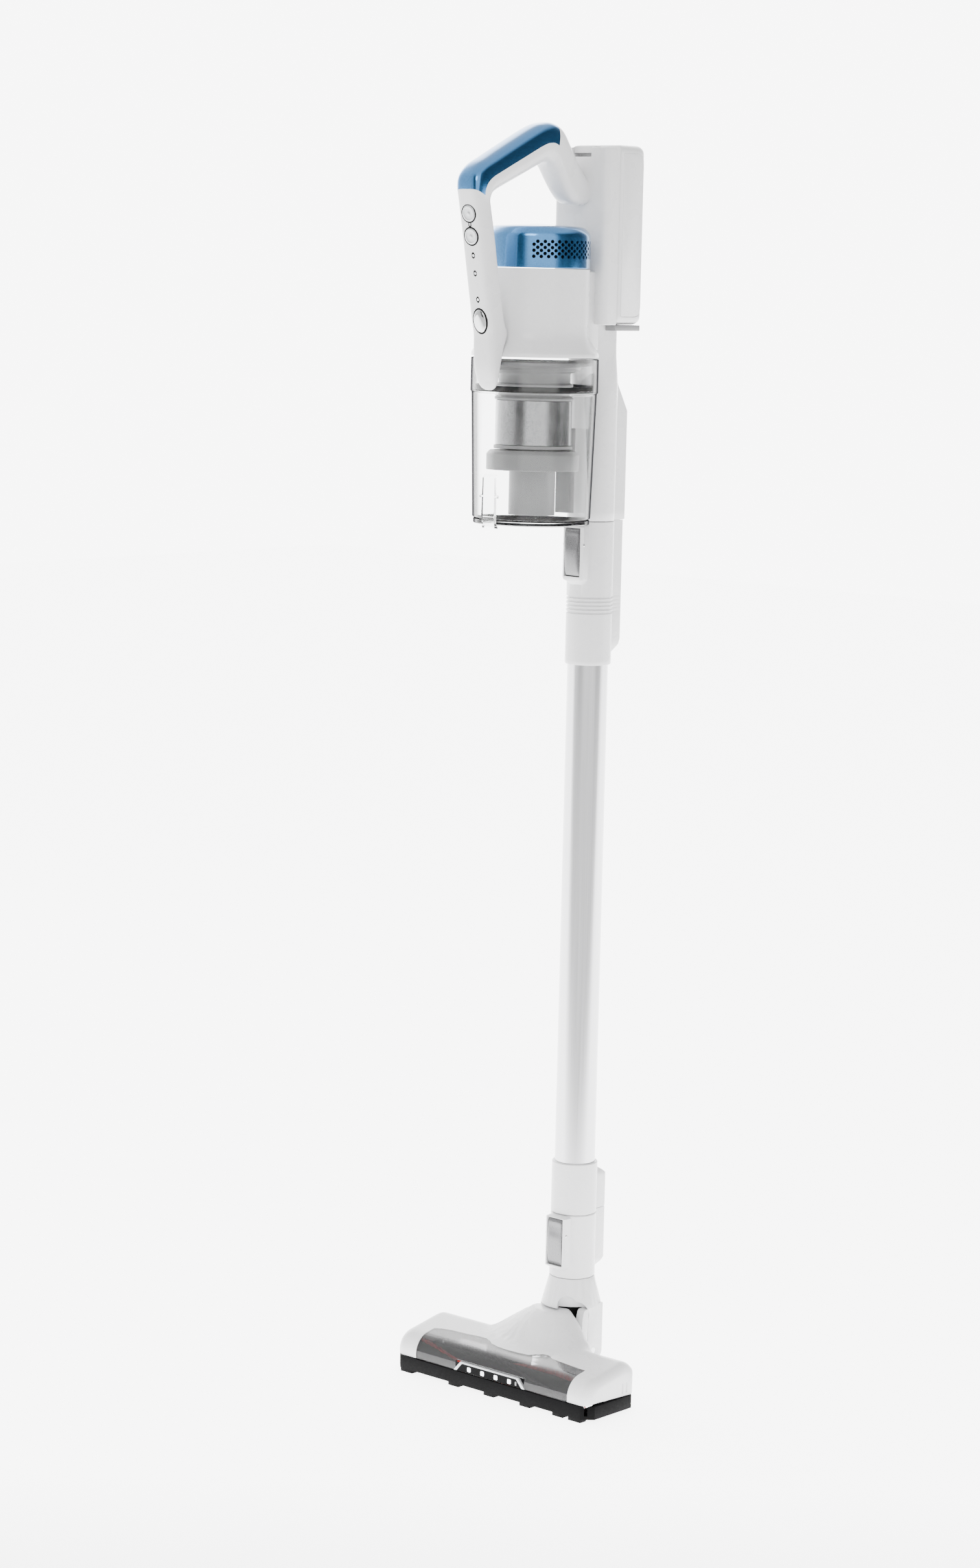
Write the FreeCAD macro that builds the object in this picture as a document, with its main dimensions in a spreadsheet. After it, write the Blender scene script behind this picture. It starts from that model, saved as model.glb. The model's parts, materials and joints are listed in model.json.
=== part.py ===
import FreeCAD, Part
import math
import os
import re

import Sketcher

# Upright cordless vacuum cleaner, in millimetres.
# +Z is up and the front faces -Y. The origin is on the floor, under the middle of the whole machine.
# Every shape is drawn about the wand's axis (x = 0, y = 0), with heights from the floor,
# and each finished sub-part is then moved by wand_x and wand_y. The floor head is centred at head_x.

Vector = FreeCAD.Vector
UP = Vector(0, 0, 1)
ACROSS = Vector(1, 0, 0)

SIZES = {
    "wand_x": 10,
    "wand_y": 70,
    "wall": 2.2,
    "gap": 0.3,
    "running_fit": 0.05,
    # wand and its couplings
    "tube_radius": 18,
    "tube_wall": 1.2,
    "tube_low": 156,
    "tube_high": 702,
    "collar_radius": 20.4,
    "spigot_radius": 16,
    "spigot_bore": 13.5,
    "spigot_length": 36,
    "rib_half": 9,
    "rib_back": 34,
    "neck_low": 94,
    "lower_seam": 151.5,
    "lower_collar_top": 198,
    "upper_collar_low": 645,
    "upper_seam": 772,
    "button_half": 8.5,
    "button_rise": 41,
    "lower_button_low": 107,
    "upper_button_low": 724,
    # floor head
    "head_x": -10,
    "sole_half": 115,
    "sole_front": -98.5,
    "sole_back": -31,
    "sole_top": 14.5,
    "tray_floor": 6.2,
    "hood_half": 113.5,
    "hood_y": -79.5,
    "hood_z": 18.5,
    "hood_radius": 18,
    "hood_peak_y": -45,
    "hood_peak_z": 43,
    "hood_back": -31,
    "window_half": 89.5,
    "window_back": -70,
    "brush_z": 17.5,
    "brush_radius": 15.3,
    "brush_core_radius": 10,
    "brush_half": 93,
    "brush_pulley_radius": 9,
    "brush_motor_radius": 9.5,
    "motor_pulley_radius": 6,
    "motor_shaft_radius": 1.6,
    "brush_motor_y": -45,
    "brush_motor_z": 29,
    "belt_low": -105.5,
    "belt_width": 5,
    "lamp_z": 18.6,
    "lamp_radius": 2.3,
    "tongue_half": 16.8,
    "ear_radius": 11,
    "arm_radius": 12,
    "pitch_y": 2,
    "pitch_z": 28,
    "pitch_pin_radius": 3,
    "wheel_y": 19,
    "wheel_radius": 8,
    "wheel_near": 17.3,
    "wheel_width": 5.5,
    "axle_radius": 2,
    # motor unit, cup and cyclone, about one upright axis
    "cup_y": -81,
    "housing_radius": 45.4,
    "housing_low": 916,
    "housing_top": 992,
    "cap_top": 1030,
    "cup_top_radius": 54,
    "cup_low_radius": 51,
    "cup_ring_radius": 55,
    "cup_low": 777,
    "cup_ring_low": 885,
    "cup_top": 915,
    "door_low": 772,
    "door_radius": 50.4,
    "hinge_y": -30.2,
    "hinge_z": 774.4,
    "latch_y": -136.2,
    "latch_z": 797,
    # spine, battery and handle
    "spine_back": 35,
    "holder_half": 30,
    "holder_front": -27,
    "holder_back": -8.3,
    "holder_low": 944,
    "holder_top": 1097,
    "battery_back": 30,
    "battery_low": 944.5,
    "battery_top": 1100,
    "cell_radius": 9,
    "cell_length": 65,
    "handle_half": 12,
    "grip_half": 14,
    "leg_top_y": -175,
    "leg_top_z": 1060,
    "leg_foot_y": -150,
    "leg_foot_z": 932,
    "press_radius": 7.3,
}

doc = FreeCAD.newDocument("Vacuum")
sheet = doc.addObject("Spreadsheet::Sheet", "Sizes")
for row, (size_name, size_value) in enumerate(SIZES.items(), 1):
    sheet.set(f"A{row}", size_name)
    sheet.set(f"B{row}", str(size_value))
    sheet.setAlias(f"B{row}", size_name)
doc.recompute()

finished_parts = []
rest_place = {}


def linked(formula):
    """A formula on size names, as an expression on the sheet."""
    return re.sub(r"[a-z_]+", lambda word: "Sizes." + word[0] if word[0] in SIZES else word[0], str(formula))


def value(formula):
    """The number that a formula gives now."""
    return float(sheet.evalExpression(linked(formula)))


def bind(thing, prop, formula):
    thing.setExpression(prop, linked(formula))


def put(thing, x, y, z):
    """Places a drawn shape, tied to the sheet."""
    bind(thing, "Placement.Base.x", x)
    bind(thing, "Placement.Base.y", y)
    bind(thing, "Placement.Base.z", z)
    rest_place[thing.Name] = (x, y)
    return thing


def finish(node, thing):
    """Names a sub-part and moves it from the wand's axis to its place in the machine."""
    thing.Label = node
    x, y = rest_place.get(thing.Name, (0, 0))
    bind(thing, "Placement.Base.x", f"wand_x + ({x})")
    bind(thing, "Placement.Base.y", f"wand_y + ({y})")
    finished_parts.append(thing)
    return thing


# ------------------------------------------------------------------ ways of making a shape


def outline(body, plane, points):
    """A closed sketch of straight lines, each corner tied to the sheet."""
    sketch = body.newObject("Sketcher::SketchObject", "Outline")
    plane_object = [item for item in body.Origin.OriginFeatures if item.Role == plane][0]
    sketch.AttachmentSupport = [(plane_object, "")]
    sketch.MapMode = "FlatFace"
    corners = [Vector(value(a), value(b), 0) for a, b in points]
    count = len(corners)
    for index, corner in enumerate(corners):
        sketch.addGeometry(Part.LineSegment(corner, corners[(index + 1) % count]), False)
    for index in range(count):
        sketch.addConstraint(Sketcher.Constraint("Coincident", index, 2, (index + 1) % count, 1))
    for index, (a, b) in enumerate(points):
        for kind, formula, number in (("DistanceX", a, corners[index].x), ("DistanceY", b, corners[index].y)):
            place = sketch.addConstraint(Sketcher.Constraint(kind, -1, 1, index, 1, number))
            bind(sketch, f"Constraints[{place}]", formula)
    return sketch


def turned(points, y=0):
    """A ring or shell turned about an upright axis at y, from corners in radius and height."""
    body = doc.addObject("PartDesign::Body", "Turned")
    sketch = outline(body, "XZ_Plane", points)
    turn = body.newObject("PartDesign::Revolution", "Turn")
    turn.Profile = sketch
    turn.ReferenceAxis = (sketch, ["V_Axis"])
    turn.Angle = 360
    body.Tip = turn
    return put(body, 0, y, 0)


def slab(points, low, high):
    """A slab from x = low to x = high, from corners in y and z."""
    body = doc.addObject("PartDesign::Body", "Slab")
    sketch = outline(body, "YZ_Plane", points)
    pad = body.newObject("PartDesign::Pad", "Pad")
    pad.Profile = sketch
    bind(pad, "Length", f"({high}) - ({low})")
    body.Tip = pad
    return put(body, low, 0, 0)


def block(x, y, z):
    """A box between two places along each axis."""
    box = doc.addObject("Part::Box", "Block")
    for prop, (low, high) in (("Length", x), ("Width", y), ("Height", z)):
        bind(box, prop, f"({high}) - ({low})")
    return put(box, x[0], y[0], z[0])


def rod(radius, start, length, direction=UP):
    """A round bar from a start point along a direction."""
    bar = doc.addObject("Part::Cylinder", "Rod")
    bind(bar, "Radius", radius)
    bind(bar, "Height", length)
    bar.Placement = FreeCAD.Placement(Vector(), FreeCAD.Rotation(UP, direction))
    return put(bar, *start)


def cone(low_radius, high_radius, start, length):
    """An upright cone."""
    taper = doc.addObject("Part::Cone", "Cone")
    bind(taper, "Radius1", low_radius)
    bind(taper, "Radius2", high_radius)
    bind(taper, "Height", length)
    return put(taper, *start)


def cut(base, *tools):
    for tool in tools:
        result = doc.addObject("Part::Cut", "Cut")
        result.Base = base
        result.Tool = tool
        base = result
    return base


def fuse(*pieces):
    result = doc.addObject("Part::MultiFuse", "Fuse")
    result.Shapes = list(pieces)
    result.Refine = True
    return result


def group(*pieces):
    """Separate solids that share one node."""
    result = doc.addObject("Part::Compound", "Group")
    result.Links = list(pieces)
    return result


def rounded(base, radius, choose):
    """Rounds the edges that a test picks out."""
    doc.recompute()
    result = doc.addObject("Part::Fillet", "Rounded")
    result.Base = base
    amount = value(radius)
    result.Edges = [(index, amount, amount) for index, edge in enumerate(base.Shape.Edges, 1) if choose(edge)]
    return result


def shaped(shape):
    """A shape that needs curves of its own."""
    feature = doc.addObject("Part::Feature", "Shaped")
    feature.Shape = shape
    return feature


def is_upright(edge):
    """A straight edge that runs along +Z."""
    if edge.Curve.TypeId != "Part::GeomLine":
        return False
    return abs(edge.tangentAt(edge.FirstParameter).z) > 0.999


def mirrored_rods(radius, near, far, y, z):
    """Two bars across the machine, one on each side, from x = near to x = far."""
    right = rod(radius, (near, y, z), f"({far}) - ({near})", ACROSS)
    left = rod(radius, (f"0 - ({far})", y, z), f"({far}) - ({near})", ACROSS)
    return [right, left]


def ring(outer, inner, low, high, y=0):
    """A plain round sleeve."""
    return turned([(inner, low), (outer, low), (outer, high), (inner, high)], y)


# ------------------------------------------------------------------ floor head


def hood_face(inset, foot):
    """The hood's outline in y and z: a round front and a top that rises to the back, moved in by inset."""
    y = value("hood_y")
    z = value("hood_z")
    radius = value("hood_radius") - inset
    back = value("hood_back") - inset
    peak_y = value("hood_peak_y")
    peak_z = value("hood_peak_z") - inset
    middle = radius * math.cos(math.radians(45))
    bevel = 8
    front = Part.Arc(Vector(0, y - radius, z), Vector(0, y - middle, z + middle), Vector(0, y, z + radius))
    corners = [Vector(0, y, z + radius), Vector(0, peak_y, peak_z), Vector(0, back - bevel, peak_z),
               Vector(0, back, peak_z - bevel), Vector(0, back, foot), Vector(0, y - radius, foot),
               Vector(0, y - radius, z)]
    lines = [Part.LineSegment(a, b).toShape() for a, b in zip(corners, corners[1:])]
    return Part.Face(Part.Wire([front.toShape()] + lines))


def hood_solid(inset, half, foot):
    face = hood_face(inset, foot)
    face.translate(Vector(value("head_x") - half, 0, 0))
    return face.extrude(Vector(2 * half, 0, 0))


def dome_solid(inset):
    """The swelling that rises from the hood to cover the neck's joint."""
    levels = [(36, -44, 63, 31), (43, -39, 56, 25), (56, -31, 38, 19), (66.5, -25, 22, 12)]
    wires = []
    for height, y, half_x, half_y in levels:
        oval = Part.Ellipse(Vector(0, y, height - inset), half_x - inset, half_y - inset)
        wires.append(Part.Wire(oval.toShape()))
    return Part.makeLoft(wires, True)


def box_shape(x, y, z):
    """A plain box between two places along each axis, as a shape."""
    return Part.makeBox(x[1] - x[0], y[1] - y[0], z[1] - z[0], Vector(x[0], y[0], z[0]))


def across_head(low, high):
    """Two places across the floor head, measured from its middle."""
    return f"head_x + ({low})", f"head_x + ({high})"


def head_top_cover():
    wall = value("wall")
    half = value("hood_half")
    foot = value("sole_top")
    end_wall = wall + 1.3
    outer = hood_solid(0, half, foot).fuse(dome_solid(0))
    inner = hood_solid(wall, half - end_wall, foot - 1).fuse(dome_solid(wall))
    left, right = [value("head_x") + side * value("window_half") for side in (-1, 1)]
    tongue = value("tongue_half")
    window = box_shape((left, right), (-110, value("window_back")), (foot - 1, 60))
    neck_room = Part.makeCylinder(tongue, 60, Vector(0, 0, 30))
    back_room = box_shape((-70, 70), (-14, 20), (30, 80))
    tongue_room = box_shape((-tongue - 0.3, tongue + 0.3), (-38, -20), (foot - 1, 15.6))
    shell = outer.cut(inner)
    for room in (window, neck_room, back_room, tongue_room):
        shell = shell.cut(room)
    return finish("head_top_cover", shaped(shell))


def brush_window():
    half = value("window_half") - value("gap")
    middle = value("head_x")
    foot = value("sole_top")
    shell = hood_solid(0, half, foot).cut(hood_solid(value("wall"), half + 1, foot - 1))
    front_back = value("window_back") - value("gap")
    front = box_shape((middle - half, middle + half), (-110, front_back), (foot, 60))
    lights = box_shape((middle - 40.3, middle + 40.3), (-110, -90), (foot - 1, 24.3))
    shell = shell.cut(dome_solid(-value("gap")))
    return finish("brush_window", shaped(shell.common(front).cut(lights)))


def head_sole_plate():
    base = block(across_head("-sole_half", "sole_half"), ("sole_front", "sole_back"), (3, "sole_top"))
    doc.recompute()
    corners = doc.addObject("Part::Chamfer", "Corners")
    corners.Base = base
    corners.Edges = [(index, 9, 9) for index, edge in enumerate(base.Shape.Edges, 1) if is_upright(edge)]
    inside = block(across_head(-110.5, 110.5), (-96, -35), ("tray_floor", "sole_top + 1"))
    mouth = block(across_head(-94, 94), (-95, -55), (2, "tray_floor + 1"))
    feet = []
    for low, high in ((-106, -92), (-48, -36), (-6, 6), (36, 48), (74, 86), (92, 106)):
        feet.append(block(across_head(low, high), (-98, -90), (0, 3.5)))
    for low, high in ((-107, -95), (95, 107)):
        feet.append(block(across_head(low, high), (-52, -41), (0, 3.5)))
    tongue = block(("-tongue_half", "tongue_half"), (-36, 16), (4.5, 15.2))
    tail = block(("-tongue_half", "tongue_half"), (15, 26), (4.5, 12.5))
    ears = []
    for low, high in (("tongue_half - 5.5", "tongue_half"), ("-tongue_half", "5.5 - tongue_half")):
        ears.append(block((low, high), ("pitch_y - ear_radius", "pitch_y + ear_radius"), (15, "pitch_z")))
        ears.append(rod("ear_radius", (low, "pitch_y", "pitch_z"), 5.5, ACROSS))
    tray = cut(corners, inside, mouth)
    frame = fuse(tray, tongue, tail, *feet, *ears)
    pin_hole = rod("pitch_pin_radius", (-20, "pitch_y", "pitch_z"), 40, ACROSS)
    axle_hole = rod("axle_radius", (-20, "wheel_y", "wheel_radius"), 40, ACROSS)
    finish("head_sole_plate", cut(frame, pin_hole, axle_hole))
    weights = []
    for spot, top in (((-100, -47), 17.5), ((27, 92), 33)):
        weights.append(block(spot, (-53, -36.5), ("tray_floor + 0.2", top)))
    finish("head_weights", group(*weights))


def light_bar():
    profile = [(-98.2, 15), (-95.4, 15), (-95.4, 24), (-97.6, 24), (-98.4, 19.5)]
    base = slab(profile, *across_head(-40, 40))
    holes = []
    lenses = []
    for x in (-23.7, -7.9, 7.9, 23.7):
        place = across_head(x, 0)[0]
        holes.append(rod("lamp_radius", (place, -100, "lamp_z"), 7, Vector(0, 1, 0)))
        lenses.append(rod("lamp_radius", (place, -98.4, "lamp_z"), 2.8, Vector(0, 1, 0)))
    finish("light_bar", cut(base, *holes))
    finish("light_lenses", group(*lenses))


def brush_drive():
    motor = rod("brush_motor_radius", ("head_x - 94", "brush_motor_y", "brush_motor_z"), 52, ACROSS)
    shaft_hole = rod("motor_shaft_radius + running_fit", ("head_x - 95", "brush_motor_y", "brush_motor_z"), 12, ACROSS)
    finish("brush_motor", cut(motor, shaft_hole))
    pulley = rod("motor_pulley_radius", ("head_x - 106", "brush_motor_y", "brush_motor_z"), 6, ACROSS)
    shaft = rod("motor_shaft_radius", ("head_x - 106", "brush_motor_y", "brush_motor_z"), 22, ACROSS)
    finish("motor_pulley", fuse(pulley, shaft))
    finish("brush_belt", shaped(belt_loop(1.8).cut(belt_loop(0.3))))


def belt_loop(clear):
    """Everything inside a belt that clears both pulleys by a distance."""
    low = value("head_x + belt_low")
    width = value("belt_width")
    ends = []
    for y, z, radius in (("hood_y", "brush_z", "brush_pulley_radius"),
                         ("brush_motor_y", "brush_motor_z", "motor_pulley_radius")):
        ends.append((Vector(low, value(y), value(z)), value(radius) + clear))
    (big, big_radius), (small, small_radius) = ends
    along = small - big
    span = along.Length
    along.normalize()
    side = ACROSS.cross(along)
    lean = (big_radius - small_radius) / span
    rise = math.sqrt(1 - lean * lean)
    corners = []
    for centre, radius in ends:
        for sign in (1, -1):
            corners.append(centre + along * (radius * lean) + side * (sign * radius * rise))
    middle = Part.Face(Part.makePolygon([corners[0], corners[1], corners[3], corners[2], corners[0]]))
    loop = middle.extrude(ACROSS * width)
    for centre, radius in ends:
        loop = loop.fuse(Part.makeCylinder(radius, width, centre, ACROSS))
    return loop.removeSplitter()


def brush_roll():
    shaft = rod(3, ("head_x - 109.5", "hood_y", "brush_z"), 219, ACROSS)
    core = rod("brush_core_radius", ("head_x - brush_half", "hood_y", "brush_z"), "2 * brush_half", ACROSS)
    finish("brush_core", fuse(shaft, core))
    disc = rod("brush_pulley_radius", ("head_x - 106", "hood_y", "brush_z"), 6, ACROSS)
    hub_hole = rod(3, ("head_x - 107", "hood_y", "brush_z"), 8, ACROSS)
    finish("brush_pulley", cut(disc, hub_hole))
    finish("red_bristles", shaped(bristle_rows(0)))
    finish("grey_bristles", shaped(bristle_rows(90)))


def bristle_rows(first_angle):
    """Two rows of bristles on opposite sides of the roll, each winding a quarter turn from end to end."""
    centre = Vector(value("head_x"), value("hood_y"), value("brush_z"))
    low = value("brush_core_radius")
    high = value("brush_radius")
    half = value("brush_half")
    steps = 8
    step = 2 * half / steps
    rows = []
    for side in (0, 180):
        for index in range(steps):
            tuft = Part.makeBox(step - 1, 3, high - low - 0.1, Vector(-half + index * step + 0.5, -1.5, low))
            tuft.rotate(Vector(), ACROSS, first_angle + side + 90 * index / steps)
            tuft.translate(centre)
            rows.append(tuft)
    return Part.makeCompound(rows)


def head_small_parts():
    rings = []
    for low in (-110, 106.8):
        bearing = rod(6, (f"head_x + ({low})", "hood_y", "brush_z"), 3.2, ACROSS)
        bore = rod("3 + running_fit", (f"head_x + ({low}) - 1", "hood_y", "brush_z"), 6, ACROSS)
        rings.append(cut(bearing, bore))
    finish("brush_bearings", group(*rings))
    finish("pitch_pins", group(*mirrored_rods("pitch_pin_radius", 11.3, 25.4, "pitch_y", "pitch_z")))
    axle = rod("axle_radius", ("0 - wheel_near - wheel_width", "wheel_y", "wheel_radius"),
               "2 * (wheel_near + wheel_width)", ACROSS)
    finish("rear_axle", axle)
    for side, low in (("left", "0 - wheel_near - wheel_width"), ("right", "wheel_near")):
        tyre = rod("wheel_radius", (low, "wheel_y", "wheel_radius"), "wheel_width", ACROSS)
        bore = rod("axle_radius + running_fit", (f"{low} - 1", "wheel_y", "wheel_radius"), 9, ACROSS)
        finish(f"rear_wheel_{side}", cut(tyre, bore))


# ------------------------------------------------------------------ neck and wand


def neck_yoke():
    skirt = cone(27, 20.2, (0, 0, 68), "neck_low - gap - 68")
    spindle = rod("15 - running_fit", (0, 0, 80), 32)
    arms = []
    for low, high in ((17.5, 25.5), (-25.5, -17.5)):
        arms.append(block((low, high), (-6, "pitch_y + arm_radius"), ("pitch_z", 70)))
        arms.append(rod("arm_radius", (low, "pitch_y", "pitch_z"), high - low, ACROSS))
    bore = rod("12.6 + running_fit", (0, 0, 60), 60)
    pin_hole = rod("pitch_pin_radius + running_fit", (-30, "pitch_y", "pitch_z"), 60, ACROSS)
    finish("neck_yoke", cut(fuse(skirt, spindle, *arms), bore, pin_hole))


def air_elbow():
    barrel = rod(11.2, (-10.8, "pitch_y", "pitch_z"), 21.6, ACROSS)
    throat = block((-10.8, 10.8), (-9, "pitch_y + 11.2"), ("pitch_z", 42))
    ball = rod(16, (0, 0, 41), 26)
    tube = rod(12.6, (0, 0, 66), 46)
    bore = rod(9, (0, 0, "pitch_z"), 90)
    finish("air_elbow", cut(fuse(barrel, throat, ball, tube), bore))


def cheeks_and_pocket(button_low):
    """The raised cheeks beside a release button, and the recess between them."""
    cheeks = block((-11.5, 11.5), (-25.2, -10), (f"{button_low} - 4", f"{button_low} + button_rise + 3"))
    pocket = block(("0 - button_half - gap", "button_half + gap"), (-30, -18.9),
                   (f"{button_low} - 0.8", f"{button_low} + button_rise + 0.8"))
    pin_hole = rod(1, (-11.5, -23.5, f"{button_low} + 27"), 23, ACROSS)
    return cheeks, pocket, pin_hole


def release_button(name, button_low):
    """A rocking release button, which pivots on a pin above its middle, and its pin."""
    profile = [(-24.2, 0), (-26.4, 5), (-26.4, 33), (-24.6, 41), (-22.2, 41), (-20.6, 33), (-20.6, 20), (-22.6, 0)]
    corners = [(y, f"{button_low} + {z}") for y, z in profile]
    body = slab(corners, "-button_half", "button_half")
    bore = rod("1 + running_fit", (-12, -23.5, f"{button_low} + 27"), 24, ACROSS)
    finish(f"{name}_release_button", cut(body, bore))
    finish(f"{name}_button_pin", rod(1, (-11.5, -23.5, f"{button_low} + 27"), 23, ACROSS))


def neck_coupling():
    sleeve = rod("collar_radius", (0, 0, "neck_low"), "lower_seam - neck_low")
    rib = slab([(12, "neck_low + gap"), (24, "neck_low + gap"), ("rib_back", "neck_low + 9"),
                ("rib_back", "lower_seam"), (12, "lower_seam")], "-rib_half", "rib_half")
    cheeks, pocket, pin_hole = cheeks_and_pocket("lower_button_low")
    swivel_bore = rod(15, (0, 0, "neck_low - 1"), 20)
    tube_bore = rod("12.6 + 2 * running_fit", (0, 0, "neck_low"), 40)
    socket = rod("spigot_radius + running_fit", (0, 0, "lower_seam - spigot_length - 1"), 60)
    shape = cut(fuse(sleeve, rib, cheeks), pocket, swivel_bore, tube_bore, socket, pin_hole)
    finish("neck_coupling", shape)
    release_button("lower", "lower_button_low")


def wand_lower_collar():
    low = "lower_seam + gap"
    sleeve = rod("collar_radius", (0, 0, low), "lower_collar_top - lower_seam - gap")
    rib = slab([(12, low), ("rib_back", low), ("rib_back", "lower_collar_top - 14"),
                (24, "lower_collar_top - 4"), (12, "lower_collar_top - 4")], "-rib_half", "rib_half")
    spigot = rod("spigot_radius", (0, 0, "lower_seam - spigot_length"), "spigot_length + 1")
    air = rod("spigot_bore", (0, 0, 100), 60)
    seat = rod("tube_radius", (0, 0, "tube_low"), 60)
    finish("wand_lower_collar", cut(fuse(sleeve, rib, spigot), air, seat))


def wand_upper_collar():
    grooves = []
    for index in range(5):
        low = 690 + 3.4 * index
        grooves += [("collar_radius", low), ("collar_radius - 0.6", low + 0.3),
                    ("collar_radius - 0.6", low + 1.5), ("collar_radius", low + 1.8)]
    sleeve = turned([("tube_radius", "upper_collar_low"), ("collar_radius", "upper_collar_low")] + grooves
                    + [("collar_radius", "upper_seam - gap"), ("tube_radius", "upper_seam - gap")])
    rib = slab([(12, "upper_collar_low + 3"), (25, "upper_collar_low + 3"), ("rib_back", "upper_collar_low + 16"),
                ("rib_back", "upper_seam - gap"), (12, "upper_seam - gap")], "-rib_half", "rib_half")
    liner = rod("tube_radius + 0.5", (0, 0, "tube_high"), "upper_seam - gap - tube_high")
    cheeks, pocket, pin_hole = cheeks_and_pocket("upper_button_low")
    seat = rod("tube_radius", (0, 0, 600), "tube_high - 600")
    air = rod("spigot_bore", (0, 0, 690), 60)
    socket = rod("spigot_radius + running_fit", (0, 0, "upper_seam - spigot_length - 1"), 60)
    shape = cut(fuse(sleeve, rib, liner, cheeks), seat, air, socket, pocket, pin_hole)
    finish("wand_upper_collar", shape)
    release_button("upper", "upper_button_low")


# ------------------------------------------------------------------ motor unit


def housing_outside():
    """The room that the motor housing and the cup take up, as a cutting tool for what stands beside them."""
    return turned([(0, 765), ("cup_ring_radius + 2 * gap", 765), ("cup_ring_radius + 2 * gap", 915.5),
                   ("cup_ring_radius", "housing_low"), ("cup_ring_radius", "housing_low + 3"),
                   ("housing_radius", "housing_low + 16"), ("housing_radius", 1035), (0, 1035)], "cup_y")


def motor_housing():
    shell = turned([("cup_ring_radius - wall", "housing_low"), ("cup_ring_radius", "housing_low"),
                    ("cup_ring_radius", "housing_low + 3"), ("housing_radius", "housing_low + 16"),
                    ("housing_radius", "housing_top"), ("housing_radius - wall", "housing_top"),
                    ("housing_radius - wall", "housing_low + 15"), ("cup_ring_radius - wall", "housing_low + 2.5")],
                   "cup_y")
    finish("motor_housing", shell)
    crown = turned([("housing_radius - wall", "housing_top"), ("housing_radius", "housing_top"),
                    ("housing_radius", "cap_top - 8"), (39, "cap_top - 1.5"), (8, "cap_top"), (8, "cap_top - wall"),
                    (38.4, "cap_top - 3.7"), ("housing_radius - wall", "cap_top - 9.2")], "cup_y")
    lid = rod(9, (0, "cup_y", "cap_top - wall"), 2.2)
    finish("motor_cap", fuse(crown, lid))


def fan_parts():
    motor = rod(23, (0, "cup_y", 936), 40)
    shaft_hole = rod("2 + running_fit", (0, "cup_y", 930), 20)
    finish("fan_motor", cut(motor, shaft_hole))
    disc = rod(36, (0, "cup_y", 924), 1.5)
    shaft = rod(2, (0, "cup_y", 924), 24)
    blades = []
    for index in range(9):
        blade = Part.makeBox(26, 1.2, 6.5, Vector(9, -0.6, 925))
        blade.rotate(Vector(), UP, 40 * index)
        blade.translate(Vector(0, value("cup_y"), 0))
        blades.append(shaped(blade))
    hub = rod(10, (0, "cup_y", 924), 8)
    finish("fan_impeller", fuse(disc, shaft, hub, *blades))
    finish("pre_motor_filter", rod(44, (0, "cup_y", 917), 4))
    finish("exhaust_filter", ring(41, 31, 994, 1016, "cup_y"))


# ------------------------------------------------------------------ cup and cyclone


def dust_cup():
    shell = turned([("cup_low_radius - 2", "cup_low"), ("cup_low_radius", "cup_low"),
                    ("cup_top_radius", "cup_ring_low"), ("cup_ring_radius", "cup_ring_low + 0.5"),
                    ("cup_ring_radius", "cup_top"), ("cup_ring_radius - 2", "cup_top"),
                    ("cup_ring_radius - 2", "cup_ring_low + 1"), ("cup_top_radius - 2", "cup_ring_low - 1")], "cup_y")
    lugs = []
    for low, high in ((8.3, 12), (-12, -8.3)):
        lugs.append(block((low, high), (-34, "hinge_y + 2.4"), (772, 782)))
    for low, high in ((7.3, 10.3), (-10.3, -7.3)):
        lugs.append(block((low, high), (-138, -131), ("latch_z - 4", "latch_z + 4")))
    inside = cone("cup_low_radius - 2", "cup_top_radius - 2", (0, "cup_y", "cup_low"), "cup_ring_low - 1 - cup_low")
    under = rod("cup_low_radius - 0.2", (0, "cup_y", "cup_low - 8"), 8)
    hinge_hole = rod(1.2, (-12, "hinge_y", "hinge_z"), 24, ACROSS)
    latch_hole = rod("1.2 + running_fit", (-12, "latch_y", "latch_z"), 24, ACROSS)
    finish("dust_cup", cut(fuse(shell, *lugs), inside, under, hinge_hole, latch_hole))
    finish("cup_seal", ring("cup_ring_radius - 2.1", 49, 886.5, 891, "cup_y"))
    finish("door_pin", rod(1.2, (-12, "hinge_y", "hinge_z"), 24, ACROSS))


def cup_door():
    disc = rod("door_radius", (0, "cup_y", "door_low"), 4.3)
    knuckle = rod(2.4, (-8, "hinge_y", "hinge_z"), 16, ACROSS)
    strap = block((-8, 8), (-34, "hinge_y"), ("door_low", "door_low + 4.3"))
    pin_hole = rod("1.2 + running_fit", (-12, "hinge_y", "hinge_z"), 24, ACROSS)
    side_room = [block((8, 12.5), (-35, -25), (770, 780)), block((-12.5, -8), (-35, -25), (770, 780))]
    finish("cup_door", cut(fuse(disc, strap, knuckle), pin_hole, *side_room))
    finish("door_seal", ring(48.4, 46, "door_low + 4.3", "door_low + 7.3", "cup_y"))


def door_latch():
    tab = slab([(-135, 816), (-137.4, 813), (-138, 780), (-136.5, 770), (-132.2, 769.6),
                (-132.2, 771.4), (-134.6, 773)], -7, 7)
    pivots = rod(1.2, (-10, "latch_y", "latch_z"), 20, ACROSS)
    finish("door_latch", fuse(tab, pivots))


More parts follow.
